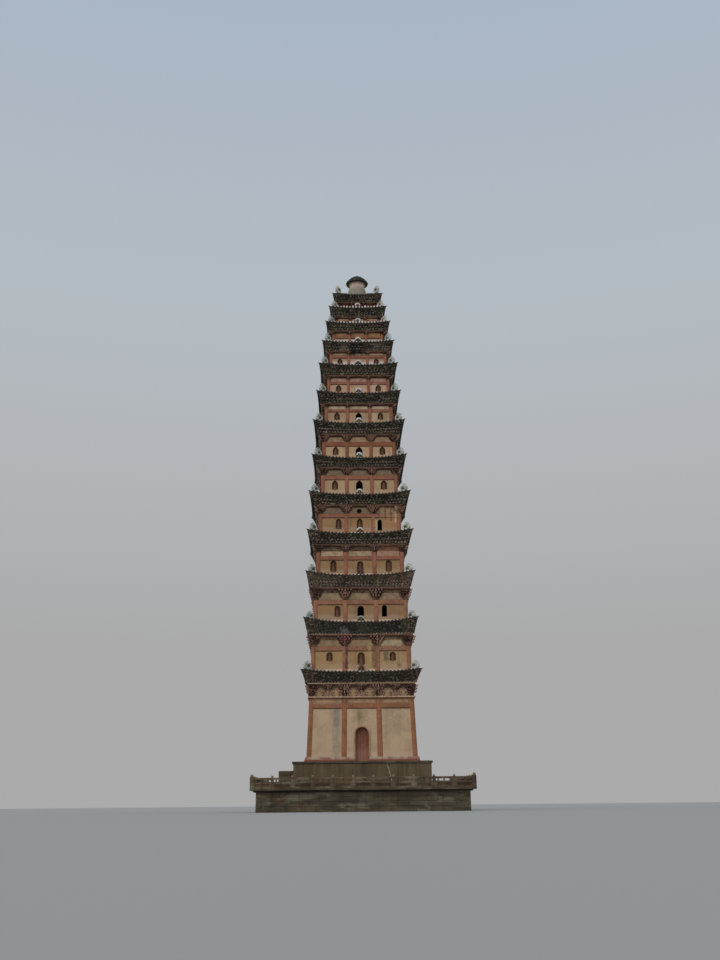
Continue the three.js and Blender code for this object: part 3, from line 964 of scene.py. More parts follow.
def vent_plaque(build, storey, outline):
    """The plaque that is pierced by a round hole: two halves that meet over and under it."""
    centre = storey.beam_top + VENT_RISE
    top, foot = max(z for _, z in outline), min(z for _, z in outline)
    for sign in (-1, 1):
        hole = [(VENT_PLACE + sign * VENT_RADIUS * math.sin(a), centre + VENT_RADIUS * math.cos(a))
                for a in half_turn(10)]
        edge = [(x, z) for x, z in outline if (x - VENT_PLACE) * sign > 0]
        edge.sort(key=lambda point: point[1])
        half_outline = [(VENT_PLACE, foot), *edge, (VENT_PLACE, top), *hole]
        if sign < 0:
            half_outline.reverse()
        build.prism(half_outline, storey.panel - ROOT, storey.panel + PLAQUE_REACH)


def upper_order(storey, paints):
    """Columns, beam, plaques, lintel band, bracket sets and ledge of one upper storey."""
    half, width, face = storey.half, storey.column, storey.panel
    slim = storey.number in SLIM_STOREYS
    column_top = storey.plaque_top - 0.05 if slim else storey.beam_top
    side = Build()
    columns(side, storey, storey.foot_on_bed, column_top)
    for left, right in bays(storey):
        bay_beam(side, left, right, face, storey.beam_foot, storey.beam_top)
        ends, inset = (left + 0.5 * width, right - 0.5 * width), (0.1 if slim else 0.8) * width
        outline = hill_outline(*ends, storey.beam_top + 0.01, storey.plaque_top, inset)
        side.paint = PLAQUE_PAINT
        if storey.number == VENT_STOREY and left < 0 < right:
            vent_plaque(side, storey, outline)
            spans = ((left, -VENT_FIELD), (VENT_FIELD, right))
        else:
            side.prism(outline, face - ROOT, face + PLAQUE_REACH)
            spans = ((left, right),)
        side.paint = FRIEZE_PAINT
        for x0, x1 in spans:
            side.block(x0, x1, face - DEEP_ROOT, face + BAND_FOOT_REACH, storey.beam_top, storey.plaque_top)
    end, shadow = half - 0.1, storey.ledge - SHADOW_COURSE
    side.block(-end, end, face - DEEP_ROOT, face + BAND_REACH, storey.plaque_top, shadow)
    # A dark course under the ledge: painted shadow under the cornice.
    side.paint = SHADOW_LINE_PAINT
    side.block(-end, end, face - DEEP_ROOT, face + SHADOW_REACH, shadow, storey.ledge)
    spread, tiers = (0.95, 2) if slim else (1.35, 3)
    for x in (-storey.bay, storey.bay):
        bracket_set(side, x, width, half, column_top, storey.ledge, spread, tiers)
    corner_set(side, half, width, column_top, storey.ledge, spread, tiers)
    whole = side.around()
    ledges(whole, storey)
    show(f"order_{storey.name}", whole, paints, smooth=35)


def frieze_arch(build, middle, width, foot, face):
    """A round-headed plaque with a proud rim and two curls in relief."""
    def outline(inset):
        reach, rise = width / 2 - inset, ARCH_HEIGHT - inset
        return [(middle + reach * math.cos(a), foot + rise * math.sin(a)) for a in half_turn(12)]
    build.paint = PLAQUE_PAINT
    build.prism(outline(0.6 * ARCH_RIM), face - ROOT, face + 0.02)
    build.paint = NOSE_PAINT
    band(build, outline(0.0), outline(ARCH_RIM), face, face + 0.06)
    build.paint = FRIEZE_PAINT
    for sign in (-1, 1):
        curl = []
        for k in range(CURL_STEPS + 1):
            angle, size = math.radians(-100 + 35 * k), CURL_SIZE - 0.008 * k
            x = middle + sign * (0.2 * width + size * math.cos(angle))
            curl.append((x, -face - 0.025, foot + CURL_LIFT + size * math.sin(angle)))
        build.tube(curl, [0.03 - 0.0015 * k for k in range(CURL_STEPS + 1)], 5, (0, -1, 0))


def ground_order(paints):
    """The first storey: columns, beam, inset lintel frames, plate, seven bracket sets a side and arches."""
    half, width, face = ground.half, ground.column, ground.panel
    side = Build()
    columns(side, ground, ground.foot, PLATE_FOOT)
    for left, right in bays(ground):
        bay_beam(side, left, right, face, ground.beam_foot, ground.beam_top)
        side.paint = PLAQUE_PAINT
        side.block(left, right, face - ROOT, face + FIELD_REACH, ground.beam_top, PLATE_FOOT)
        side.paint = TERRACOTTA_PAINT
        frame_box = (left + 0.5 * width, right - 0.5 * width, *LINTEL)
        outer, inner = rectangle(*frame_box), rectangle(*frame_box, LINTEL_FRAME, LINTEL_FRAME)
        band(side, outer, inner, face - 0.02, face + 0.035)
    side.paint = FRIEZE_PAINT
    side.block(-half + 0.1, half - 0.1, face - DEEP_ROOT, face + FIELD_REACH, PLATE_TOP, ground.ledge)
    middles = [step * ground.bay for step in (-2, -1, 0, 1, 2)]
    for step, x in enumerate(middles):
        if step % 2:
            bracket_set(side, x, width, half, PLATE_TOP, ground.ledge, 1.1)
        else:
            pier_top = PLATE_TOP + PIER_HEIGHT
            side.paint = NOSE_PAINT
            side.taper(x, 0.07, 0.07, face - ROOT, face + 0.06, face + 0.06, PLATE_TOP, pier_top)
            bracket_set(side, x, 0.8 * width, half, pier_top, ground.ledge, 1.1, 2)
    corner_set(side, half, width, PLATE_TOP, ground.ledge, 1.3)
    places = [-half + 0.4 * width, *middles, half - 0.4 * width]
    for left, right in zip(places, places[1:]):
        frieze_arch(side, (left + right) / 2, right - left - 0.3 * width, PLATE_TOP, face)
    whole = side.around()
    whole.paint = LEDGE_PAINT
    whole.sleeve(half + PLATE_REACH, half - 0.3, PLATE_FOOT + LINE_HEIGHT, PLATE_TOP)
    # A dark line under the plate: painted shadow.
    whole.paint = SHADOW_LINE_PAINT
    whole.sleeve(half + PLATE_REACH - 0.03, half - 0.3, PLATE_FOOT, PLATE_FOOT + LINE_HEIGHT)
    ground_lean(whole)
    ledges(whole, ground)
    show("order_01", whole, paints, smooth=35)


# Eaves

CORNICE_COURSE, CORNICE_RECESS = 0.078, 0.05
COURSE_BEND, LIFT_BEND = 1.3, 1.5
TOOTH_PITCH, TOOTH_DEPTH, TOOTH_GAP, TOOTH_WAVE, TOOTH_HALF = 0.2, 0.1, 0.004, 0.004, 0.46
TOOTHED_COURSES = {1: (0,), 2: (0,), 3: (2, 4)}
EDGE_BACK, EDGE_PROUD = 0.03, 0.01
TILE_PITCH, TILE_RADIUS, TILE_PROUD, TILE_SIZES = 0.22, 0.054, 0.015, (0.94, 1.06)
SHORTEST_ROW, TILE_END_SHARE, TONGUE_SHARE = 0.12, 1.1, 0.34
TILE_END = ((1, -0.03), (1, 0.012), (0.7, 0.012), (0.62, 0.002), (0.3, 0.004), (0.12, 0.01))
LIME_SIZES = (0.35, 1.15)
HIP_RADIUS, HIP_STEPS, HIP_SETBACK = 0.065, 6, 0.07
CORNER_BEAM_STEPS, CORNER_BEAM_RADIUS, CORNER_BEAM_TAPER = 5, 0.075, 0.03
LIME_HEIGHTS = {10: 0.13, 11: 0.21, 12: 0.21}
CORBEL_PAINT, TEETH_HIGHLIGHT_PAINT, TILE_PAINT, EDGE_PAINT, SKIRT_PAINT = range(5)


def cornice_ring(storey, share, z_share, inset=0.0):
    """A ring of the cornice: share is how far out it is, z_share how far up."""
    half = storey.inner + (storey.edge - EDGE_BACK - storey.inner) * share ** COURSE_BEND - inset
    z = storey.top + (storey.drip - storey.top) * z_share
    bend = share ** LIFT_BEND
    return half, z, storey.lift * bend, CORNER_REACH * bend


def eave_body(build, storey, courses, toothed):
    """Corbelled courses that step out to the drip, the edge board, the tile bed and the upstand over it."""
    rings = [swept_ring(storey.inner - CORNICE_RECESS, storey.top)]
    for course in range(courses):
        share = (course + 0.7) / courses
        inset = TOOTH_DEPTH if course in toothed else 0
        for z_share in (course / courses, (course + 1) / courses):
            rings.append(swept_ring(*cornice_ring(storey, share, z_share, inset)))
    build.paint = CORBEL_PAINT
    build.loft(rings, high_cap=False)
    board = [rings[-1]]
    for back, rise in ((EDGE_PROUD, 0), (EDGE_PROUD, 0.03), (EDGE_BACK, 0.035), (EDGE_BACK, BED)):
        board.append(swept_ring(storey.edge - back, storey.drip + rise, storey.lift, CORNER_REACH))
    build.paint = EDGE_PAINT
    build.loft(board, low_cap=False, high_cap=False)
    last = storey.number == STOREYS
    bed_foot = swept_ring(storey.seat, storey.bed_top)
    build.paint = TILE_PAINT
    build.loft([board[-1], bed_foot], low_cap=False, high_cap=last)
    if not last:
        upstand = storey.seat - SEAT_COVER - RELIEF
        rings = [bed_foot, swept_ring(upstand, storey.bed_top), swept_ring(upstand, storey.roof_top - HAIR)]
        build.paint = SKIRT_PAINT
        build.loft(rings, low_cap=False)


def teeth(build, storey, course, courses):
    """A row of bricks set at an angle, so that their corners show as points."""
    half, z, lift, reach = cornice_ring(storey, (course + 0.7) / courses, course / courses)
    height = (storey.drip - storey.top) / courses
    count = round(2 * half / TOOTH_PITCH)
    pitch = 2 * half / count
    width = pitch * TOOTH_HALF
    # The teeth take the pale brick, a painted highlight on their points.
    build.paint = TEETH_HIGHLIGHT_PAINT
    for k in range(count):
        x = (k + 0.5) * pitch - half
        sweep = abs(x / half) ** 3
        out = half + reach * sweep
        low = z + lift * sweep + chance.uniform(-TOOTH_WAVE, TOOTH_WAVE)
        root = -out + TOOTH_DEPTH + 0.01
        outline = [(x - width, root), (x, -out), (x + width, root)]
        build.loft([flat(outline, low + TOOTH_GAP), flat(outline, low + height - TOOTH_GAP)])


def roof_height(storey, x, depth):
    """The height of the tile bed over a point of the front slope."""
    sweep = min(1.0, abs(x) / depth) ** 3
    edge = storey.edge - EDGE_BACK + CORNER_REACH * sweep
    share = min(1.0, max(0.0, (edge - depth) / (edge - storey.seat)))
    low = storey.drip + BED + storey.lift * sweep
    return low + (storey.bed_top - low) * share


def tile_end(build, storey, x, outer, radius):
    """The round face of a cover tile, with a raised rim and a boss."""
    z = roof_height(storey, x, outer) + TILE_PROUD
    build.paint = EDGE_PAINT
    build.loft([disc(x, z, share * radius, outer + proud, 10) for share, proud in TILE_END])


def drip_tile(build, storey, middle, width):
    """The tongue between two cover tiles. On limed roofs a peak of lime stands behind it."""
    edge = storey.edge + CORNER_REACH * (abs(middle) / storey.edge) ** 3
    z = roof_height(storey, middle, edge)
    tongue = ((-width, 0), (-0.5 * width, -0.04), (0, -0.06), (0.5 * width, -0.04), (width, 0), (0, 0.01))
    build.paint = EDGE_PAINT
    build.prism([(middle + across, z + up) for across, up in tongue], edge - 0.06, edge + 0.002)
    if storey.number in LIME_HEIGHTS:
        height = LIME_HEIGHTS[storey.number] * chance.uniform(*LIME_SIZES)
        near = 0.7 * width
        peak = ((-width, 0), (width, 0), (near, 0.7 * height), (0, height), (-near, 0.7 * height))
        build.paint = SKIRT_PAINT
        build.prism([(middle + across, z + up) for across, up in peak], edge - 0.14, edge - 0.05)


def tile_rows(build, storey):
    """Half-round cover tiles from the edge to the wall or the hip, with round ends and drip tiles between."""
    count = 2 * round(storey.edge / TILE_PITCH)
    pitch = 2 * storey.edge / count
    for k in range(count + 1):
        x = (k - count / 2) * pitch
        outer = storey.edge + CORNER_REACH * (abs(x) / storey.edge) ** 3
        inner = max(storey.seat, abs(x) + 0.02)
        if outer - inner < SHORTEST_ROW:
            continue
        radius = TILE_RADIUS * chance.uniform(*TILE_SIZES)
        rings = []
        for step in range(4):
            depth = outer + (inner - outer) * step / 3
            z = roof_height(storey, x, depth) - 0.006 + TILE_PROUD
            rings.append([(x - radius * math.cos(a), -depth, z + radius * math.sin(a)) for a in half_turn(6)])
        build.paint = TILE_PAINT
        build.loft(rings)
        tile_end(build, storey, x, outer, radius * TILE_END_SHARE)
        if k < count:
            drip_tile(build, storey, x + pitch / 2, pitch * TONGUE_SHARE)


def hip(build, storey):
    """The ridge down the left front corner, and the beam that follows the corner of the cornice."""
    tip = storey.edge + CORNER_REACH - HIP_SETBACK
    ridge = [storey.seat + (tip - storey.seat) * step / HIP_STEPS for step in range(HIP_STEPS + 1)]
    path = [(-q, -q, roof_height(storey, q, q) + 0.03 - 0.008 * step) for step, q in enumerate(ridge)]
    build.paint = TILE_PAINT
    build.tube(path, [HIP_RADIUS] * (HIP_STEPS - 1) + [0.8 * HIP_RADIUS, 0.5 * HIP_RADIUS], 8)
    beam, sizes = [], []
    for step in range(CORNER_BEAM_STEPS + 1):
        share = step / CORNER_BEAM_STEPS
        half, z, lift, reach = cornice_ring(storey, max(share, 0.01), share)
        out = half + reach
        beam.append((-out, -out, z + lift + 0.02))
        sizes.append(CORNER_BEAM_RADIUS - CORNER_BEAM_TAPER * share)
    build.paint = CORBEL_PAINT
    build.tube(beam, sizes, 6)
    x, y, z = beam[-1]
    snout = [(x - out, y - out, z + up) for out, up in ((0, 0), (0.05, 0.01), (0.065, 0.05))]
    build.tube(snout, (0.04, 0.03, 0.012), 6)


def eave(storey, corbel, skirt):
    courses = max(5, round((storey.drip - storey.top) / CORNICE_COURSE))
    toothed = TOOTHED_COURSES.get(storey.number, (1, 3))
    whole, side = Build(), Build()
    eave_body(whole, storey, courses, toothed)
    for course in toothed:
        teeth(side, storey, course, courses)
    tile_rows(side, storey)
    hip(side, storey)
    whole.join(side.around())
    paints = (corbel, TEETH_HIGHLIGHTED, TILE, TILE_EDGE, skirt)
    show(f"eave_{storey.name}_tiled", whole, paints, (f"eave_{storey.name}",), smooth=40)


# Ridge ornaments

SCROLL_SETBACK, SCROLL_BAND, SCROLL_LIFT, HEART_SHARE, HEART_HALF = 0.33, 0.095, 1.3, 0.62, 0.025
SCROLL_ACROSS, SCROLL_RISE, SCROLL_STEPS = (0.36, 0.26), (0.21, 0.26), 36
SCROLL_PLANE = (-1, 1, 0)
SCROLLS_LOW_FROM, LOW_SCROLL = 10, 0.8
TAIL = ((-1.7, 0.0, 0.03), (-0.9, 0.03, 0.06))
COIL_FROM, COIL_TURN, COIL_DRAW, COIL_THINNING = -120, 560, 0.62, 0.55
CREST = ((40, 1.0, 0.06), (58, 1.22, 0.05), (84, 1.42, 0.03), (104, 1.4, 0.01))
SHRINE_WIDTH, SHRINE_HEIGHT, SHRINE_SILL, SHRINE_SETBACK = 0.4, 0.34, 0.07, 0.12
HOOD_HOLE, CHEEK_PLACE, CHEEK_HALF = 0.56, 0.8, 0.2
SHRINE_FIGURE = (
    (0.1, 0), (0.1, 0.05), (0.06, 0.08), (0.075, 0.14), (0.045, 0.17), (0.05, 0.21), (0.012, 0.25),
)
RING_PAINT, HEART_SHADE_PAINT, HOOD_PAINT, SHRINE_PAINT, FIGURE_PAINT = range(5)


def scroll(build, storey):
    """A curled ridge end over the left front hip, whose tail coils into a ring round a dark heart, a plate of
    painted shade in the ring's hollow.
    """
    height_share = (storey.number - 1) / (STOREYS - 1)
    across, rise = (low + (high - low) * height_share for low, high in (SCROLL_ACROSS, SCROLL_RISE))
    if storey.number > SCROLLS_LOW_FROM:
        rise *= LOW_SCROLL
    centre = storey.edge - SCROLL_SETBACK
    base = roof_height(storey, centre, centre) + 0.02

    def place(out, up, aside=0.0):
        along, side = centre + out / math.sqrt(2), aside / math.sqrt(2)
        return -along - side, -along + side, base + up

    def curl(angle, size):
        return across * size * math.cos(angle), rise * (SCROLL_LIFT + size * math.sin(angle))
    path = [place(out * across, up) for out, up, _ in TAIL]
    radii = [radius for _, _, radius in TAIL]
    for k in range(SCROLL_STEPS + 1):
        share = k / SCROLL_STEPS
        path.append(place(*curl(math.radians(COIL_FROM + COIL_TURN * share), 1 - COIL_DRAW * share)))
        radii.append(SCROLL_BAND * (1 - COIL_THINNING * share))
    build.paint = RING_PAINT
    build.tube(path, radii, 8, SCROLL_PLANE)
    crest = [place(*curl(math.radians(degrees), size)) for degrees, size, _ in CREST]
    build.tube(crest, [radius for _, _, radius in CREST], 6, SCROLL_PLANE)
    # The heart: a dark plate standing for the shade in the coil's hollow.
    build.paint = HEART_SHADE_PAINT
    heart = [curl(a, HEART_SHARE) for a in reversed(turns(14))]
    build.loft([[place(out, up, aside) for out, up in heart] for aside in (-HEART_HALF, HEART_HALF)])


def shrine(build, storey):
    """A small niche on the edge of the roof: a hood, a dark body, a plain rounded figure and a sill."""
    depth = storey.edge - SHRINE_SETBACK
    low = roof_height(storey, 0, depth) - 0.02
    sill = low + SHRINE_SILL
    radius = SHRINE_WIDTH / 2
    crown = sill + SHRINE_HEIGHT - radius

    def hood(size):
        return [(size * math.cos(a), crown + size * math.sin(a)) for a in half_turn(12)]
    build.paint = RING_PAINT
    build.slab(-0.5 * SHRINE_WIDTH, 0.5 * SHRINE_WIDTH, depth - 0.12, depth + 0.1, low, sill, 0.02)
    build.paint = HOOD_PAINT
    build.prism(hood(radius) + hood(HOOD_HOLE * radius)[::-1], depth - 0.1, depth + 0.08)
    build.paint = SHRINE_PAINT
    back = arch_outline(0, 0.9 * SHRINE_WIDTH, sill, sill + 0.97 * SHRINE_HEIGHT, False)
    build.prism(back, depth - 0.11, depth - 0.04)
    for side in (-1, 1):
        x, half = side * CHEEK_PLACE * radius, CHEEK_HALF * radius
        build.block(x - half, x + half, depth - 0.1, depth + 0.06, sill, crown)
    build.paint = FIGURE_PAINT
    build.lathe([(size, sill + up) for size, up in SHRINE_FIGURE], 10, (0.0, -depth - 0.01))


def ornaments(storey):
    side = Build()
    scroll(side, storey)
    if storey.number < STOREYS:
        shrine(side, storey)
    mark = "_" + storey.name
    hood, body, figure = SHRINES.get(storey.number, SHRINES[0])
    paints = (
        ORNAMENT, SCROLL_HEART_SHADE, speckled("hood" + mark, hood, dimmed(hood, 0.4), 0.5),
        speckled("shrine" + mark, body, dimmed(body, 0.5), 0.5), speckled("figure" + mark, figure, body, 0.5),
    )
    show("ornaments" + mark, side.around(), paints, smooth=50)


# Platform

LOWER_WALL, LOWER_WALL_TOP = 6.12, 1.09
COURSE_LEVELS = (0.0, 0.3, 0.57, 0.83, LOWER_WALL_TOP)
CORE_INSET = 0.035
FILLET_LINE = 6.27
COPING, COPING_FOOT, COPING_DEPTH = 6.45, DECK - 0.1, 0.75
UPPER_WALL, UPPER_CAP_HEIGHT, UPPER_CAP_REACH, UPPER_CAP_DEPTH = 4.1, 0.14, 0.07, 0.7
STONE_DEPTH, STONE_EASE, STONE_WAVE = 0.3, 0.016, 0.008
HALF_JOINT = 0.004
WALL_STONES, COPING_STONES, CAP_STONES = (0.55, 1.25), (0.9, 1.5), (0.9, 1.4)
BREAKS, BREAK_WIDTH = (-4.42, 1.59), 0.1
PAVING_ROWS = 18
STEP_COUNT, STEP_TREAD, STONES_A_STEP = 4, 0.35, 2


def stones_across(x0, x1, shortest, longest):
    """Random lengths that fill a run from x0 to x1."""
    ends = [x0]
    while x1 - ends[-1] > 1.6 * longest:
        ends.append(ends[-1] + chance.uniform(shortest, longest))
    last, rest = ends[-1], x1 - ends[-1]
    parts = max(1, round(rest / ((shortest + longest) / 2)))
    ends.extend(last + rest * k / parts for k in range(1, parts + 1))
    return list(zip(ends, ends[1:]))


def course(build, half, z0, z1, mirror):
    """One course round the wall: each side stops short of the next one, and the courses take turns."""
    for side in range(SIDES):
        low, high = (-half, half - STONE_DEPTH) if mirror else (-half + STONE_DEPTH, half)
        row = Build()
        cuts = [low, high]
        if side == 0:
            cuts[1:1] = [edge for place in BREAKS for edge in (place, place + BREAK_WIDTH)]
        for span in zip(cuts, cuts[1:]):
            narrow = span[1] - span[0] < 2 * BREAK_WIDTH
            for x0, x1 in [span] if narrow else stones_across(*span, *WALL_STONES):
                proud = 0.0 if narrow else min(chance.uniform(-STONE_WAVE, STONE_WAVE), 0.0)
                face = half + proud - 0.004
                row.stone(x0 + HALF_JOINT, x1 - HALF_JOINT, half - STONE_DEPTH, face,
                          z0 + HALF_JOINT, z1 - HALF_JOINT, STONE_EASE)
        build.join(row.turned(side))


def lower_platform():
    whole = Build()
    for k, (z0, z1) in enumerate(zip(COURSE_LEVELS, COURSE_LEVELS[1:])):
        course(whole, LOWER_WALL, z0, z1, k % 2 == 0)
    core = LOWER_WALL - CORE_INSET
    whole.loft([square_ring(core, 0.0), square_ring(core, DECK - 0.06)])
    # The fillet under the coping takes the dark stone: painted shadow under the coping.
    whole.paint = 1
    base = LOWER_WALL_TOP
    fillet = ((FILLET_LINE - 0.05, base), (FILLET_LINE, base + 0.04), (FILLET_LINE, COPING_FOOT))
    whole.loft([square_ring(*level) for level in fillet])
    show("platform_lower", whole, (STONE, SHADED_FILLET_STONE), ("lower_plinth",))
    side = Build()
    inner = COPING - COPING_DEPTH
    for x0, x1 in stones_across(-COPING, inner, *COPING_STONES):
        side.slab(x0 + HALF_JOINT, x1 - HALF_JOINT, inner, COPING, COPING_FOOT, DECK, 0.015)
    show("platform_coping", side.around(), (CAP_STONE,))


def deck_paving():
    """Square slabs over the platform, up to the foot of the upper tier."""
    build = Build()
    field = COPING - COPING_DEPTH
    size = 2 * field / PAVING_ROWS
    for row in range(PAVING_ROWS):
        for column in range(PAVING_ROWS):
            x, d = -field + column * size, -field + row * size
            if max(abs(x + size / 2), abs(d + size / 2)) < UPPER_WALL - size:
                continue
            top = DECK - chance.uniform(0, 0.006)
            build.slab(x + HALF_JOINT, x + size - HALF_JOINT, d + HALF_JOINT, d + size - HALF_JOINT,
                       DECK - 0.08, top, 0.008)
    show("platform_paving", build, (PAVING,))


def upper_platform():
    body = Build()
    low = UPPER_TOP - UPPER_CAP_HEIGHT
    body.loft([square_ring(UPPER_WALL + 0.02, DECK), square_ring(UPPER_WALL, DECK + 0.12),
               square_ring(UPPER_WALL, low)])
    show("upper_tier", body, (rendered_plinth(),), ("upper_plinth",))
    side = Build()
    reach = UPPER_WALL + UPPER_CAP_REACH
    inner = reach - UPPER_CAP_DEPTH
    edge = ((0.04, low), (0.0, low + 0.035), (0.0, UPPER_TOP - 0.02), (0.02, UPPER_TOP))
    for x0, x1 in stones_across(-reach, inner, *CAP_STONES):
        ends = (x0 + HALF_JOINT, x1 - HALF_JOINT)
        side.loft([flat(rectangle(*ends, -reach + inset, -reach + UPPER_CAP_DEPTH), z) for inset, z in edge])
    cap = side.around()
    core = reach - UPPER_CAP_DEPTH + 0.01
    cap.loft([square_ring(core, low), square_ring(core, UPPER_TOP - 0.004)])
    show("upper_tier_cap", cap, (CAP_STONE,))


def side_steps():
    """The blocks of the steps against the left side of the upper tier."""
    low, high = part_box("side_steps")
    riser = (high.z - low.z) / STEP_COUNT
    landing = high.y - low.y - (STEP_COUNT - 1) * STEP_TREAD
    build = Build()
    for step in range(STEP_COUNT):
        z0 = low.z + step * riser
        depth = landing + (STEP_COUNT - 1 - step) * STEP_TREAD
        for k in range(STONES_A_STEP):
            y0, y1 = (low.y + part * depth / STONES_A_STEP for part in (k, k + 1))
            build.slab(low.x, high.x - 0.002, -y1 + HALF_JOINT, -y0 - HALF_JOINT,
                       z0 + HALF_JOINT, z0 + riser, 0.02)
    show("stair_block", build, (CAP_STONE,), ("side_steps",))


# Balustrade round the lower tier, with heights over the deck

RAIL_LINE = 6.33
RAIL_BAYS = 11
POST, POST_HEIGHT = 0.17, 0.72
CORNER_POST, CORNER_POST_HEIGHT = 0.22, 0.79
POST_EASE, KNOB_FROM = 0.015, 0.83
KNOB_PROFILE = ((0.7, 0), (0.98, 0.12), (0.9, 0.25), (0.62, 0.35), (0.8, 0.55), (0.72, 0.8), (0.3, 1.0))
SILL, PANEL_TOP, MIDDLE_TOP, RAIL_FOOT, RAIL_TOP = 0.06, 0.3, 0.37, 0.48, 0.6
RAIL_HALF, RAIL_EASE = 0.055, 0.04
FIELD_HALF, FRAME_PROUD, FRAME_WIDTH, FRAME_HEIGHT = 0.03, 0.016, 0.08, 0.04
VASE = ((0.04, MIDDLE_TOP), (0.055, 0.4), (0.03, 0.43), (0.05, RAIL_FOOT))
VASE_PLACES = (-0.3, 0.0, 0.3)
STONE_PAINT, KNOB_PAINT, FIELD_PAINT = range(3)


def eased_square(half):
    near = half - POST_EASE
    return [(-near, -half), (near, -half), (half, -near), (half, near), (near, half), (-near, half),
            (-half, near), (-half, -near)]


def rail_post(build, x, size, height):
    """A square post with eased edges, a necking and a small lotus knob."""
    half = size / 2
    levels = ((1.0, 0.0), (1.0, 0.78 * height), (0.82, 0.8 * height), (0.82, KNOB_FROM * height))
    build.paint = STONE_PAINT
    build.loft([
        [(x + px, -RAIL_LINE + py, DECK + z) for px, py in eased_square(half * share)]
        for share, z in levels
    ])
    foot, rise = DECK + KNOB_FROM * height, 0.17 * height
    build.paint = KNOB_PAINT
    build.lathe([(half * share, foot + rise * up) for share, up in KNOB_PROFILE], 12, (x, -RAIL_LINE))


def rail_bay(build, x0, x1, spacing):
    """A sill, a panel with a sunk field on both faces, a middle rail on vase supports and a top rail."""
    def run(half, low, high):
        build.block(x0, x1, RAIL_LINE - half, RAIL_LINE + half, DECK + low, DECK + high)
    build.paint = STONE_PAINT
    run(RAIL_HALF, 0, SILL)
    build.paint = FIELD_PAINT
    run(FIELD_HALF, SILL, PANEL_TOP)
    build.paint = STONE_PAINT
    panel = (x0, x1, DECK + SILL, DECK + PANEL_TOP)
    for face in (-1, 1):
        field = RAIL_LINE + face * FIELD_HALF
        depths = sorted((field, field + face * FRAME_PROUD))
        band(build, rectangle(*panel), rectangle(*panel, FRAME_WIDTH, FRAME_HEIGHT), *depths)
    run(RAIL_HALF, PANEL_TOP, MIDDLE_TOP)
    vase = [(radius, DECK + z) for radius, z in VASE]
    for place in VASE_PLACES:
        build.lathe(vase, 10, ((x0 + x1) / 2 + place * spacing, -RAIL_LINE))
    shoulder = RAIL_TOP - RAIL_EASE
    profile = [(-RAIL_HALF, RAIL_FOOT), (RAIL_HALF, RAIL_FOOT), (RAIL_HALF, shoulder), (0.025, RAIL_TOP),
               (-0.025, RAIL_TOP), (-RAIL_HALF, shoulder)]
    build.loft([[(x, -RAIL_LINE + across, DECK + z) for across, z in profile] for x in (x0, x1)])


def balustrade(with_corners):
    """One side: the bays between its posts, and the corner posts on the front and back sides alone."""
    spacing = 2 * RAIL_LINE / RAIL_BAYS
    build = Build()
    end = RAIL_LINE if with_corners else RAIL_LINE - CORNER_POST / 2 - 0.001
    for bay in range(RAIL_BAYS):
        x0 = max(-end, -RAIL_LINE + bay * spacing + POST / 2 - 0.01)
        x1 = min(end, -RAIL_LINE + (bay + 1) * spacing - POST / 2 + 0.01)
        rail_bay(build, x0, x1, spacing)
    for bay in range(1, RAIL_BAYS):
        rail_post(build, -RAIL_LINE + bay * spacing, POST, POST_HEIGHT)
    if with_corners:
        for x in (-RAIL_LINE, RAIL_LINE):
            rail_post(build, x, CORNER_POST, CORNER_POST_HEIGHT)
    return build


def balustrades():
    for side, name in enumerate(("front", "right", "back", "left")):
        paints = (RAIL_STONE, KNOB, RAIL_FIELD)
        whole = balustrade(side % 2 == 0).turned(side)
        show("rail_" + name, whole, paints, ("balustrade_" + name,), smooth=30)


# Moulding and doorway

LEAF_HALF, LEAF_THICKNESS, LEAF_GAP, LEAF_LIFT, LEAF_EASE = 0.48, 0.06, 0.012, 0.01, 0.006
BOARDS, BOARD_BACK, HALF_BOARD_JOINT = 5, 0.015, 0.002
BATTENS, BATTEN_HALF = (0.25, 1.05, 1.85), 0.06
STUD = ((0.016, -0.004), (0.014, 0.003), (0.005, 0.007))
PIVOT_RADIUS = 0.034
RING_FROM_EDGE, RING_HEIGHT, RING_RADIUS, RING_WIRE, RING_STEPS = 0.16, 1.2, 0.045, 0.006, 16


def moulding():
    """The plaster moulding under the first storey, open at the doorway."""
    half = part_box("base_moulding")[1].x
    top = ground.foot
    profile = [(half, UPPER_TOP), (half, UPPER_TOP + 0.1), (half - 0.03, UPPER_TOP + 0.12),
               (half - 0.03, top - 0.06), (half - 0.06, top), (ground.room, top), (ground.room, UPPER_TOP)]
    loop = [square_ring(size, z) for size, z in profile]
    solid, doorway = Build(), Build()
    solid.loft([*loop, loop[0]], low_cap=False, high_cap=False)
    low, high = UPPER_TOP - 0.1, top + 0.1
    doorway.block(-DOOR_WIDTH / 2, DOOR_WIDTH / 2, ground.panel - REVEAL - 0.05, half + 0.1, low, high)
    cutters = (doorway, passage_cutter(low, high))
    paints = (base_plaster(), NICHE, INSIDE)
    mesh = cut("moulding_ring", solid, cutters, paints, lambda z: half - 0.2, ground.room)
    piece("moulding_ring", mesh, ("base_moulding",))


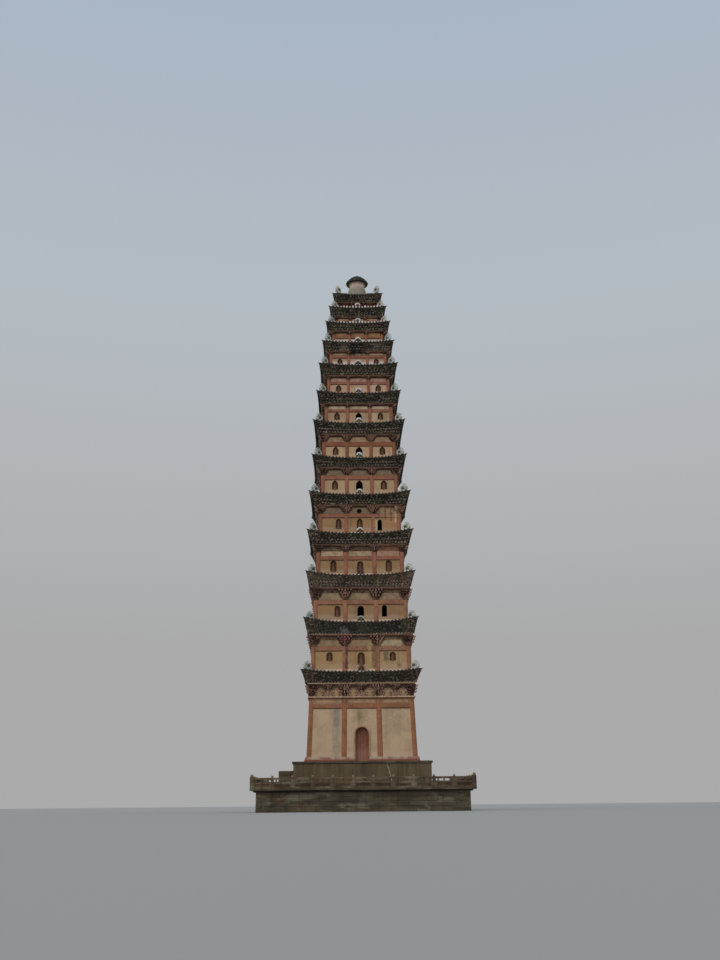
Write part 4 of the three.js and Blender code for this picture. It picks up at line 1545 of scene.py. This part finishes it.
def door_leaf():
    """A boarded leaf with battens, studs and a ring, on its pivot post."""
    low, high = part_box("door_leaf")
    x0, x1 = -LEAF_HALF, LEAF_HALF
    front = ground.panel - REVEAL - LEAF_GAP
    back = front - LEAF_THICKNESS
    foot, head = UPPER_TOP + LEAF_LIFT, high.z - 0.0005
    width = (x1 - x0) / BOARDS
    build = Build()
    for k in range(BOARDS):
        left, face = x0 + k * width, front - chance.uniform(0, 0.003)
        board = (left + HALF_BOARD_JOINT, left + width - HALF_BOARD_JOINT)
        build.stone(*board, back + BOARD_BACK, face, foot, head, LEAF_EASE)
    for z in BATTENS:
        middle = UPPER_TOP + z
        build.block(x0 + 0.06, x1 - 0.02, back, back + 0.016, middle - BATTEN_HALF, middle + BATTEN_HALF)
    build.lathe([(PIVOT_RADIUS, low.z), (PIVOT_RADIUS, head)], 16, (x0, -(front + back) / 2))
    build.paint = 1
    for z in BATTENS:
        for k in range(BOARDS):
            x = x0 + (k + 0.5) * width
            build.loft([disc(x, UPPER_TOP + z, radius, front + proud, 8) for radius, proud in STUD])
    centre, height = x1 - RING_FROM_EDGE, UPPER_TOP + RING_HEIGHT
    ring = [(centre + RING_RADIUS * math.sin(a), -front - RING_WIRE, height - RING_RADIUS * math.cos(a))
            for a in turns(RING_STEPS)]
    build.tube([*ring, ring[0]], [RING_WIRE] * (RING_STEPS + 1), 6, (0, -1, 0))
    paints = (door_timber(), old_iron())
    show("door_boards", build, paints, ("door_leaf",), body="door", smooth=35)


def door_arch():
    """The plaster arch round the doorway, open at its foot."""
    def over(grow):
        """From the right foot over the crown to the left foot."""
        width, top = DOOR_WIDTH + 2 * grow, DOOR_TOP + grow
        left, *rest = arch_outline(0, width, ground.foot, top, False, DOOR_ARCH_STEPS)
        return [*rest, left]
    arch = Build()
    outline = over(ARCHIVOLT_WIDTH) + over(-ARCHIVOLT_COVER)[::-1]
    arch.prism(outline, ground.panel - ARCHIVOLT_ROOT, ground.panel + ARCHIVOLT_REACH)
    show("door_arch", arch, (DOOR_ARCH,))


# Finial

# The drum's insets from its full radius: at heights over its foot, then at shares of its height
DRUM_FOOT = ((0, 0), (0, 0.1), (0.02, 0.12))
DRUM_RISE = (
    (0.01, 0.4), (0.02, 0.5), (0.05, 0.6), (0.11, 0.68), (0.135, 0.73), (0.14, 0.9), (0.11, 0.92),
    (0.11, 0.95), (0.06, 0.97), (0.06, 1.0),
)
DOME_SHARE, DOME_BEND, DOME_FOOT = 0.8, 1.8, 0.05
DOME_RINGS = (0.97, 0.85, 0.7, 0.55, 0.4, 0.25, 0.12)
CAP_ROWS, ROW_RADIUS = 24, 0.042
KNOT = ((0.13, -0.2), (0.15, -0.15), (0.1, -0.11), (0.11, -0.05), (0.05, -0.01), (0.02, 0))


def finial_drum():
    low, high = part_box("finial_drum")
    foot, top, radius = low.z, high.z, high.x
    profile = [(radius - inset, foot + up) for inset, up in DRUM_FOOT]
    profile += [(radius - inset, foot + share * (top - foot)) for inset, share in DRUM_RISE]
    drum = Build()
    drum.lathe(profile, 48)
    show("finial_body", drum, (finial_plaster(foot, top),), ("finial_drum",), smooth=40)


def finial_cap():
    """A dome of tile rows with round ends, and a knot on top."""
    low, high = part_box("finial_cap")
    foot, reach, height = low.z, high.x, high.z - low.z

    def dome(radius_share):
        """The height of the dome over the rim for a share of its radius."""
        return height * DOME_SHARE * (1 - radius_share ** DOME_BEND)
    cap = Build()
    profile = [(0.45, foot), (reach - 0.06, foot), (reach - 0.02, foot + 0.03)]
    profile += [(reach * share, foot + DOME_FOOT + dome(share)) for share in DOME_RINGS]
    cap.lathe(profile, 48)
    end = foot + DOME_FOOT + dome(DOME_RINGS[0])
    rim = reach - 0.001
    for k in range(CAP_ROWS):
        a = 2 * math.pi * (k + 0.5) / CAP_ROWS

        def spoke(radius, z):
            return radius * math.cos(a), radius * math.sin(a), z
        shares = (0.985, 0.85, 0.7, 0.5, 0.3, 0.16)
        path = [spoke(reach * share, foot + 0.06 + dome(share)) for share in shares]
        cap.tube(path, [ROW_RADIUS * (0.55 + 0.45 * share) for share in shares], 8)
        cap.paint = 1
        path = [spoke(reach * 0.94, end), spoke(0.985 * rim, end), spoke(rim - 0.004, end - 0.01)]
        cap.tube(path, (0.045, 0.045, 0.03), 8)
        cap.paint = 0
    cap.lathe([(radius, high.z + up) for radius, up in KNOT], 20)
    tile = mossy_brick("finial_tile", tone(58, 80, 76), tone(52, 68, 58), tone(150, 152, 140), 0.55)
    show("finial_roof", cap, (tile, CAP_EDGE), ("finial_cap",), smooth=40)


# Colours of each storey


def by_storey(rows):
    return {number: tone(*colour) for number, colour in rows.items()}


CREAM_FROM, PINK_FROM, HIGH_FROM, RED_FROM, PLAIN_CORNERS_FROM = 6, 9, 4, 12, 6
LOW_PLASTER, HIGH_PLASTER, PINK_PLASTER = tone(206, 176, 144), tone(192, 152, 109), tone(178, 144, 120)
CREAM_PLASTER = tone(182, 152, 119)
PLASTER_SHADES = {
    1: 0.97, 2: 0.88, 3: 0.71, 4: 0.75, 5: 0.79, 6: 1.2, 7: 1.3, 8: 1.06, 9: 1.4, 10: 1.15, 12: 1.8,
}
SLATE_RUN, LIME, DAMP = tone(122, 128, 120), tone(220, 200, 164), tone(186, 166, 112)
MAGENTA = tone(150, 84, 90)
PURPLE, BARE_TAN, ALGAE, RUSTY = tone(92, 66, 66), tone(172, 142, 108), tone(74, 80, 58), tone(136, 82, 60)
SALMON, PALE_STONE, BURNT, MUD = tone(176, 116, 88), tone(190, 184, 176), tone(44, 42, 40), tone(92, 84, 72)
# Stained areas of the front: x from and to, z from and to, the colour and its share
STAINS = {
    1: (
        (-1.78, -1.34, 3.1, 5.95, SLATE_RUN, 0.4), (-1.7, -1.38, 4.9, 5.95, SLATE_RUN, 0.5),
        (-1.72, -1.38, 6.3, 6.62, ALGAE, 0.75), (-1.72, -1.38, 6.06, 6.24, tone(150, 98, 104), 0.7),
        (-0.5, 0.35, 5.1, 5.95, tone(148, 134, 92), 0.4), (-0.25, 0.1, 5.35, 5.8, GRIME, 0.35),
        (1.25, 2.5, 4.4, 6.0, GRIME, 0.22), (-3.0, -1.3, 6.26, 6.62, tone(198, 158, 124), 0.45),
        (-0.3, 0.7, 7.56, 8.0, ALGAE, 0.5),
    ),
    2: (
        (1.25, 2.75, 8.4, 9.5, LIME, 0.15), (1.4, 1.7, 8.85, 9.5, MUD, 0.7), (2.2, 2.5, 8.5, 8.75, MUD, 0.6),
        (0.62, 1.0, 8.4, 9.9, tone(126, 100, 76), 0.85), (0.42, 0.66, 8.4, 10.2, DAMP, 0.6),
        (-1.0, -0.82, 8.4, 9.9, PURPLE, 0.9), (1.2, 2.6, 9.8, 10.2, LIME, 0.4),
        (-1.3, -0.75, 10.15, 10.5, MAGENTA, 0.6), (-1.3, -0.75, 10.6, 10.9, PALE_STONE, 0.2),
        (-0.2, 0.3, 10.55, 11.1, ALGAE, 0.5),
    ),
    4: ((-0.3, 0.3, 14.5, 14.9, tone(150, 92, 76), 0.5), (1.2, 2.5, 15.6, 16.3, SALMON, 0.5)),
    5: (
        (1.3, 2.5, 18.2, 18.95, BARE_TAN, 0.8), (0.95, 1.3, 17.3, 18.1, LIME, 0.6),
        (1.6, 2.5, 17.3, 18.05, tone(190, 130, 100), 0.4), (1.62, 1.72, 18.1, 18.95, RUSTY, 0.9),
        (2.0, 2.1, 18.0, 18.95, RUSTY, 0.9), (2.28, 2.4, 17.9, 18.95, tone(214, 186, 150), 0.9),
        (1.2, 1.3, 18.3, 18.95, PURPLE, 0.7),
    ),
    6: ((-0.3, 0.3, 21.8, 22.1, ALGAE, 0.5),), 8: ((0.95, 1.6, 25.2, 25.8, tone(226, 196, 166), 0.45),),
    9: ((0.9, 1.45, 27.2, 27.9, tone(232, 204, 178), 0.45),), 10: ((-0.6, 0.4, 30.2, 30.95, BURNT, 1.0),),
    12: ((0.45, 1.3, 32.0, 33.0, tone(196, 140, 98), 0.8),),
}
PLAQUES = by_storey({
    1: (180, 147, 114), 2: (166, 137, 106), 3: (164, 139, 110), 4: (193, 164, 134), 5: (142, 120, 98),
    6: (146, 128, 102), 7: (180, 146, 116), 8: (204, 176, 146), 9: (188, 146, 128), 10: (190, 160, 130),
    11: (170, 126, 94), 12: (240, 200, 172), 13: (128, 70, 66),
})
CORBELS = by_storey({
    1: (66, 58, 48), 2: (56, 57, 49), 3: (100, 84, 70), 4: (60, 55, 47), 5: (56, 52, 44), 6: (66, 61, 51),
    7: (60, 58, 49), 10: (112, 102, 86),
})
COLUMNS = by_storey({1: (166, 111, 80), 7: (156, 98, 72), 12: (176, 122, 104)})
LEDGES = by_storey({1: (206, 172, 142)})
SPECKS = by_storey({2: (158, 150, 138), 3: (198, 160, 144)})
WHITE_HOOD, BROWN_HOOD, GREEN_BODY = (232, 230, 222), (126, 92, 76), (96, 98, 86)
# The hood, body and figure of the shrine on each roof, with the usual ones at 0
SHRINES = {number: [tone(*colour) for colour in row] for number, row in {
    0: (WHITE_HOOD, GREEN_BODY, (134, 130, 108)), 1: (BROWN_HOOD, (92, 66, 58), (150, 112, 96)),
    2: ((176, 176, 160), (84, 88, 66), (118, 118, 96)), 3: ((112, 76, 76), (84, 58, 60), (140, 100, 96)),
    4: (WHITE_HOOD, (120, 72, 62), (156, 104, 90)), 9: (WHITE_HOOD, (78, 66, 56), (112, 100, 84)),
    10: (WHITE_HOOD, (84, 76, 52), (110, 96, 70)), 11: (WHITE_HOOD, (96, 58, 50), (110, 76, 64)),
    12: (WHITE_HOOD, (70, 52, 48), (96, 72, 62)),
}.items()}


def storey_finishes(storey):
    """The plaster, the eight paints of the order, the corbel brick and the plaster over one storey's roof."""
    number, stains, mark = storey.number, STAINS.get(storey.number, ()), "_" + storey.name
    wall = LOW_PLASTER if number == 1 else HIGH_PLASTER
    if number >= CREAM_FROM:
        wall = PINK_PLASTER if number >= PINK_FROM else CREAM_PLASTER
    wall = dimmed(wall, PLASTER_SHADES.get(number, 1.0))
    column, worn = tone(170, 118, 92), tone(186, 146, 118)
    if number >= HIGH_FROM:
        column, worn = tone(170, 112, 88), tone(184, 136, 110)
    if number >= RED_FROM:
        column, worn = tone(132, 74, 66), tone(176, 116, 100)
    column, plaque = COLUMNS.get(number, column), PLAQUES[number]
    ledge = LEDGES.get(number, tone(162, 126, 106))
    order = (
        terracotta("column" + mark, column, worn, stains),
        terracotta("beam" + mark, dimmed(column, 0.92), worn, stains),
        # Painted shadow: the dark line under beams, plate and ledge.
        band_brick("painted_shadow_line" + mark, tone(92, 62, 50), tone(120, 84, 66), 0.3, stains),
        band_brick("lintel_band" + mark, tone(112, 88, 70), tone(140, 112, 88), 0.6, stains),
        band_brick("bracket" + mark, tone(66, 47, 41), tone(172, 124, 104), 0.62, stains),
        speckled("plaque" + mark, plaque, dimmed(plaque, 0.7), 0.4, stains),
        speckled("ledge" + mark, ledge, dimmed(ledge, 0.35), 0.6, stains),
        speckled("bracket_end" + mark, tone(164, 126, 110), tone(78, 56, 48), 0.7, stains),
    )
    brick = CORBELS.get(number, tone(74, 68, 56))
    speck, speck_share = SPECKS.get(number, tone(186, 170, 152)), 0.5 if number < HIGH_FROM else 0.62
    carved = storey.edge if number < PLAIN_CORNERS_FROM else None
    corbel = mossy_brick("corbel" + mark, brick, tone(74, 78, 54), speck, speck_share, stains, carved)
    skirt = SKIRT if number < PINK_FROM else WHITE_SKIRT
    over_roof = speckled("skirt" + mark, skirt, dimmed(skirt, 0.5), 0.4)
    return plaster(storey, wall, stains), order, corbel, over_roof


# Assembly

for storey in storeys:
    wall_paint, order_paints, corbel_paint, skirt_paint = storey_finishes(storey)
    if storey is ground:
        ground_wall(wall_paint)
        ground_order(order_paints)
    else:
        upper_wall(storey, wall_paint)
        upper_order(storey, order_paints)
    eave(storey, corbel_paint, skirt_paint)
    ornaments(storey)

lower_platform()
deck_paving()
upper_platform()
side_steps()
balustrades()
moulding()
door_leaf()
door_arch()
finial_drum()
finial_cap()

# Floor, sky and lights

FLOOR_REACH = 400
BACKDROP = ((0.15, (171, 171, 171)), (0.3, (178, 181, 184)), (0.46, (180, 188, 195)), (0.67, (169, 182, 196)))
SKY_LIGHT = (0.86, 0.93, 1.0, 1)
SKY_STRENGTH = 0.52
SUN_STRENGTH = 0.9
FLOOR_COLOUR = (0.42, 0.42, 0.41, 1)
FLOOR_ROUGHNESS = 0.9
SUN_COLOUR = (1.0, 0.97, 0.92)
SUN_ANGLE = 70
SUN_TURN = (52, 0, -28)


def add_floor():
    mesh = bpy.data.meshes.new("floor")
    mesh.from_pydata(square_ring(FLOOR_REACH, 0), [], [(0, 1, 2, 3)])
    paint = bpy.data.materials.new("floor_paint")
    paint.use_nodes = True
    shader = paint.node_tree.nodes["Principled BSDF"]
    shader.inputs["Base Color"].default_value = FLOOR_COLOUR
    shader.inputs["Roughness"].default_value = FLOOR_ROUGHNESS
    mesh.materials.append(paint)
    floor = bpy.data.objects.new("floor", mesh)
    bpy.context.scene.collection.objects.link(floor)


def add_sky():
    """An even light from the whole sky, and a plain pale backdrop where the camera sees it."""
    world = bpy.data.worlds.new("sky")
    world.use_nodes = True
    bpy.context.scene.world = world
    nodes, links = world.node_tree.nodes, world.node_tree.links
    light = nodes["Background"]
    light.inputs["Color"].default_value = SKY_LIGHT
    light.inputs["Strength"].default_value = SKY_STRENGTH
    direction, split = nodes.new("ShaderNodeTexCoord"), nodes.new("ShaderNodeSeparateXYZ")
    ramp = nodes.new("ShaderNodeValToRGB")
    stops = ramp.color_ramp.elements
    while len(stops) < len(BACKDROP):
        stops.new(0.5)
    for stop, (place, colour) in zip(stops, BACKDROP):
        stop.position, stop.color = place, tone(*colour)
    seen = nodes.new("ShaderNodeBackground")
    path, mix = nodes.new("ShaderNodeLightPath"), nodes.new("ShaderNodeMixShader")
    links.new(direction.outputs["Generated"], split.inputs[0])
    links.new(split.outputs["Z"], ramp.inputs[0])
    links.new(ramp.outputs[0], seen.inputs["Color"])
    links.new(path.outputs["Is Camera Ray"], mix.inputs[0])
    links.new(light.outputs[0], mix.inputs[1])
    links.new(seen.outputs[0], mix.inputs[2])
    links.new(mix.outputs[0], nodes["World Output"].inputs["Surface"])


def add_sun():
    data = bpy.data.lights.new("sun", "SUN")
    data.energy = SUN_STRENGTH
    data.angle = math.radians(SUN_ANGLE)
    data.color = SUN_COLOUR
    sun = bpy.data.objects.new("sun", data)
    sun.rotation_euler = [math.radians(turn) for turn in SUN_TURN]
    bpy.context.scene.collection.objects.link(sun)


add_floor()
add_sky()
add_sun()
bpy.context.scene.view_settings.view_transform = "Standard"
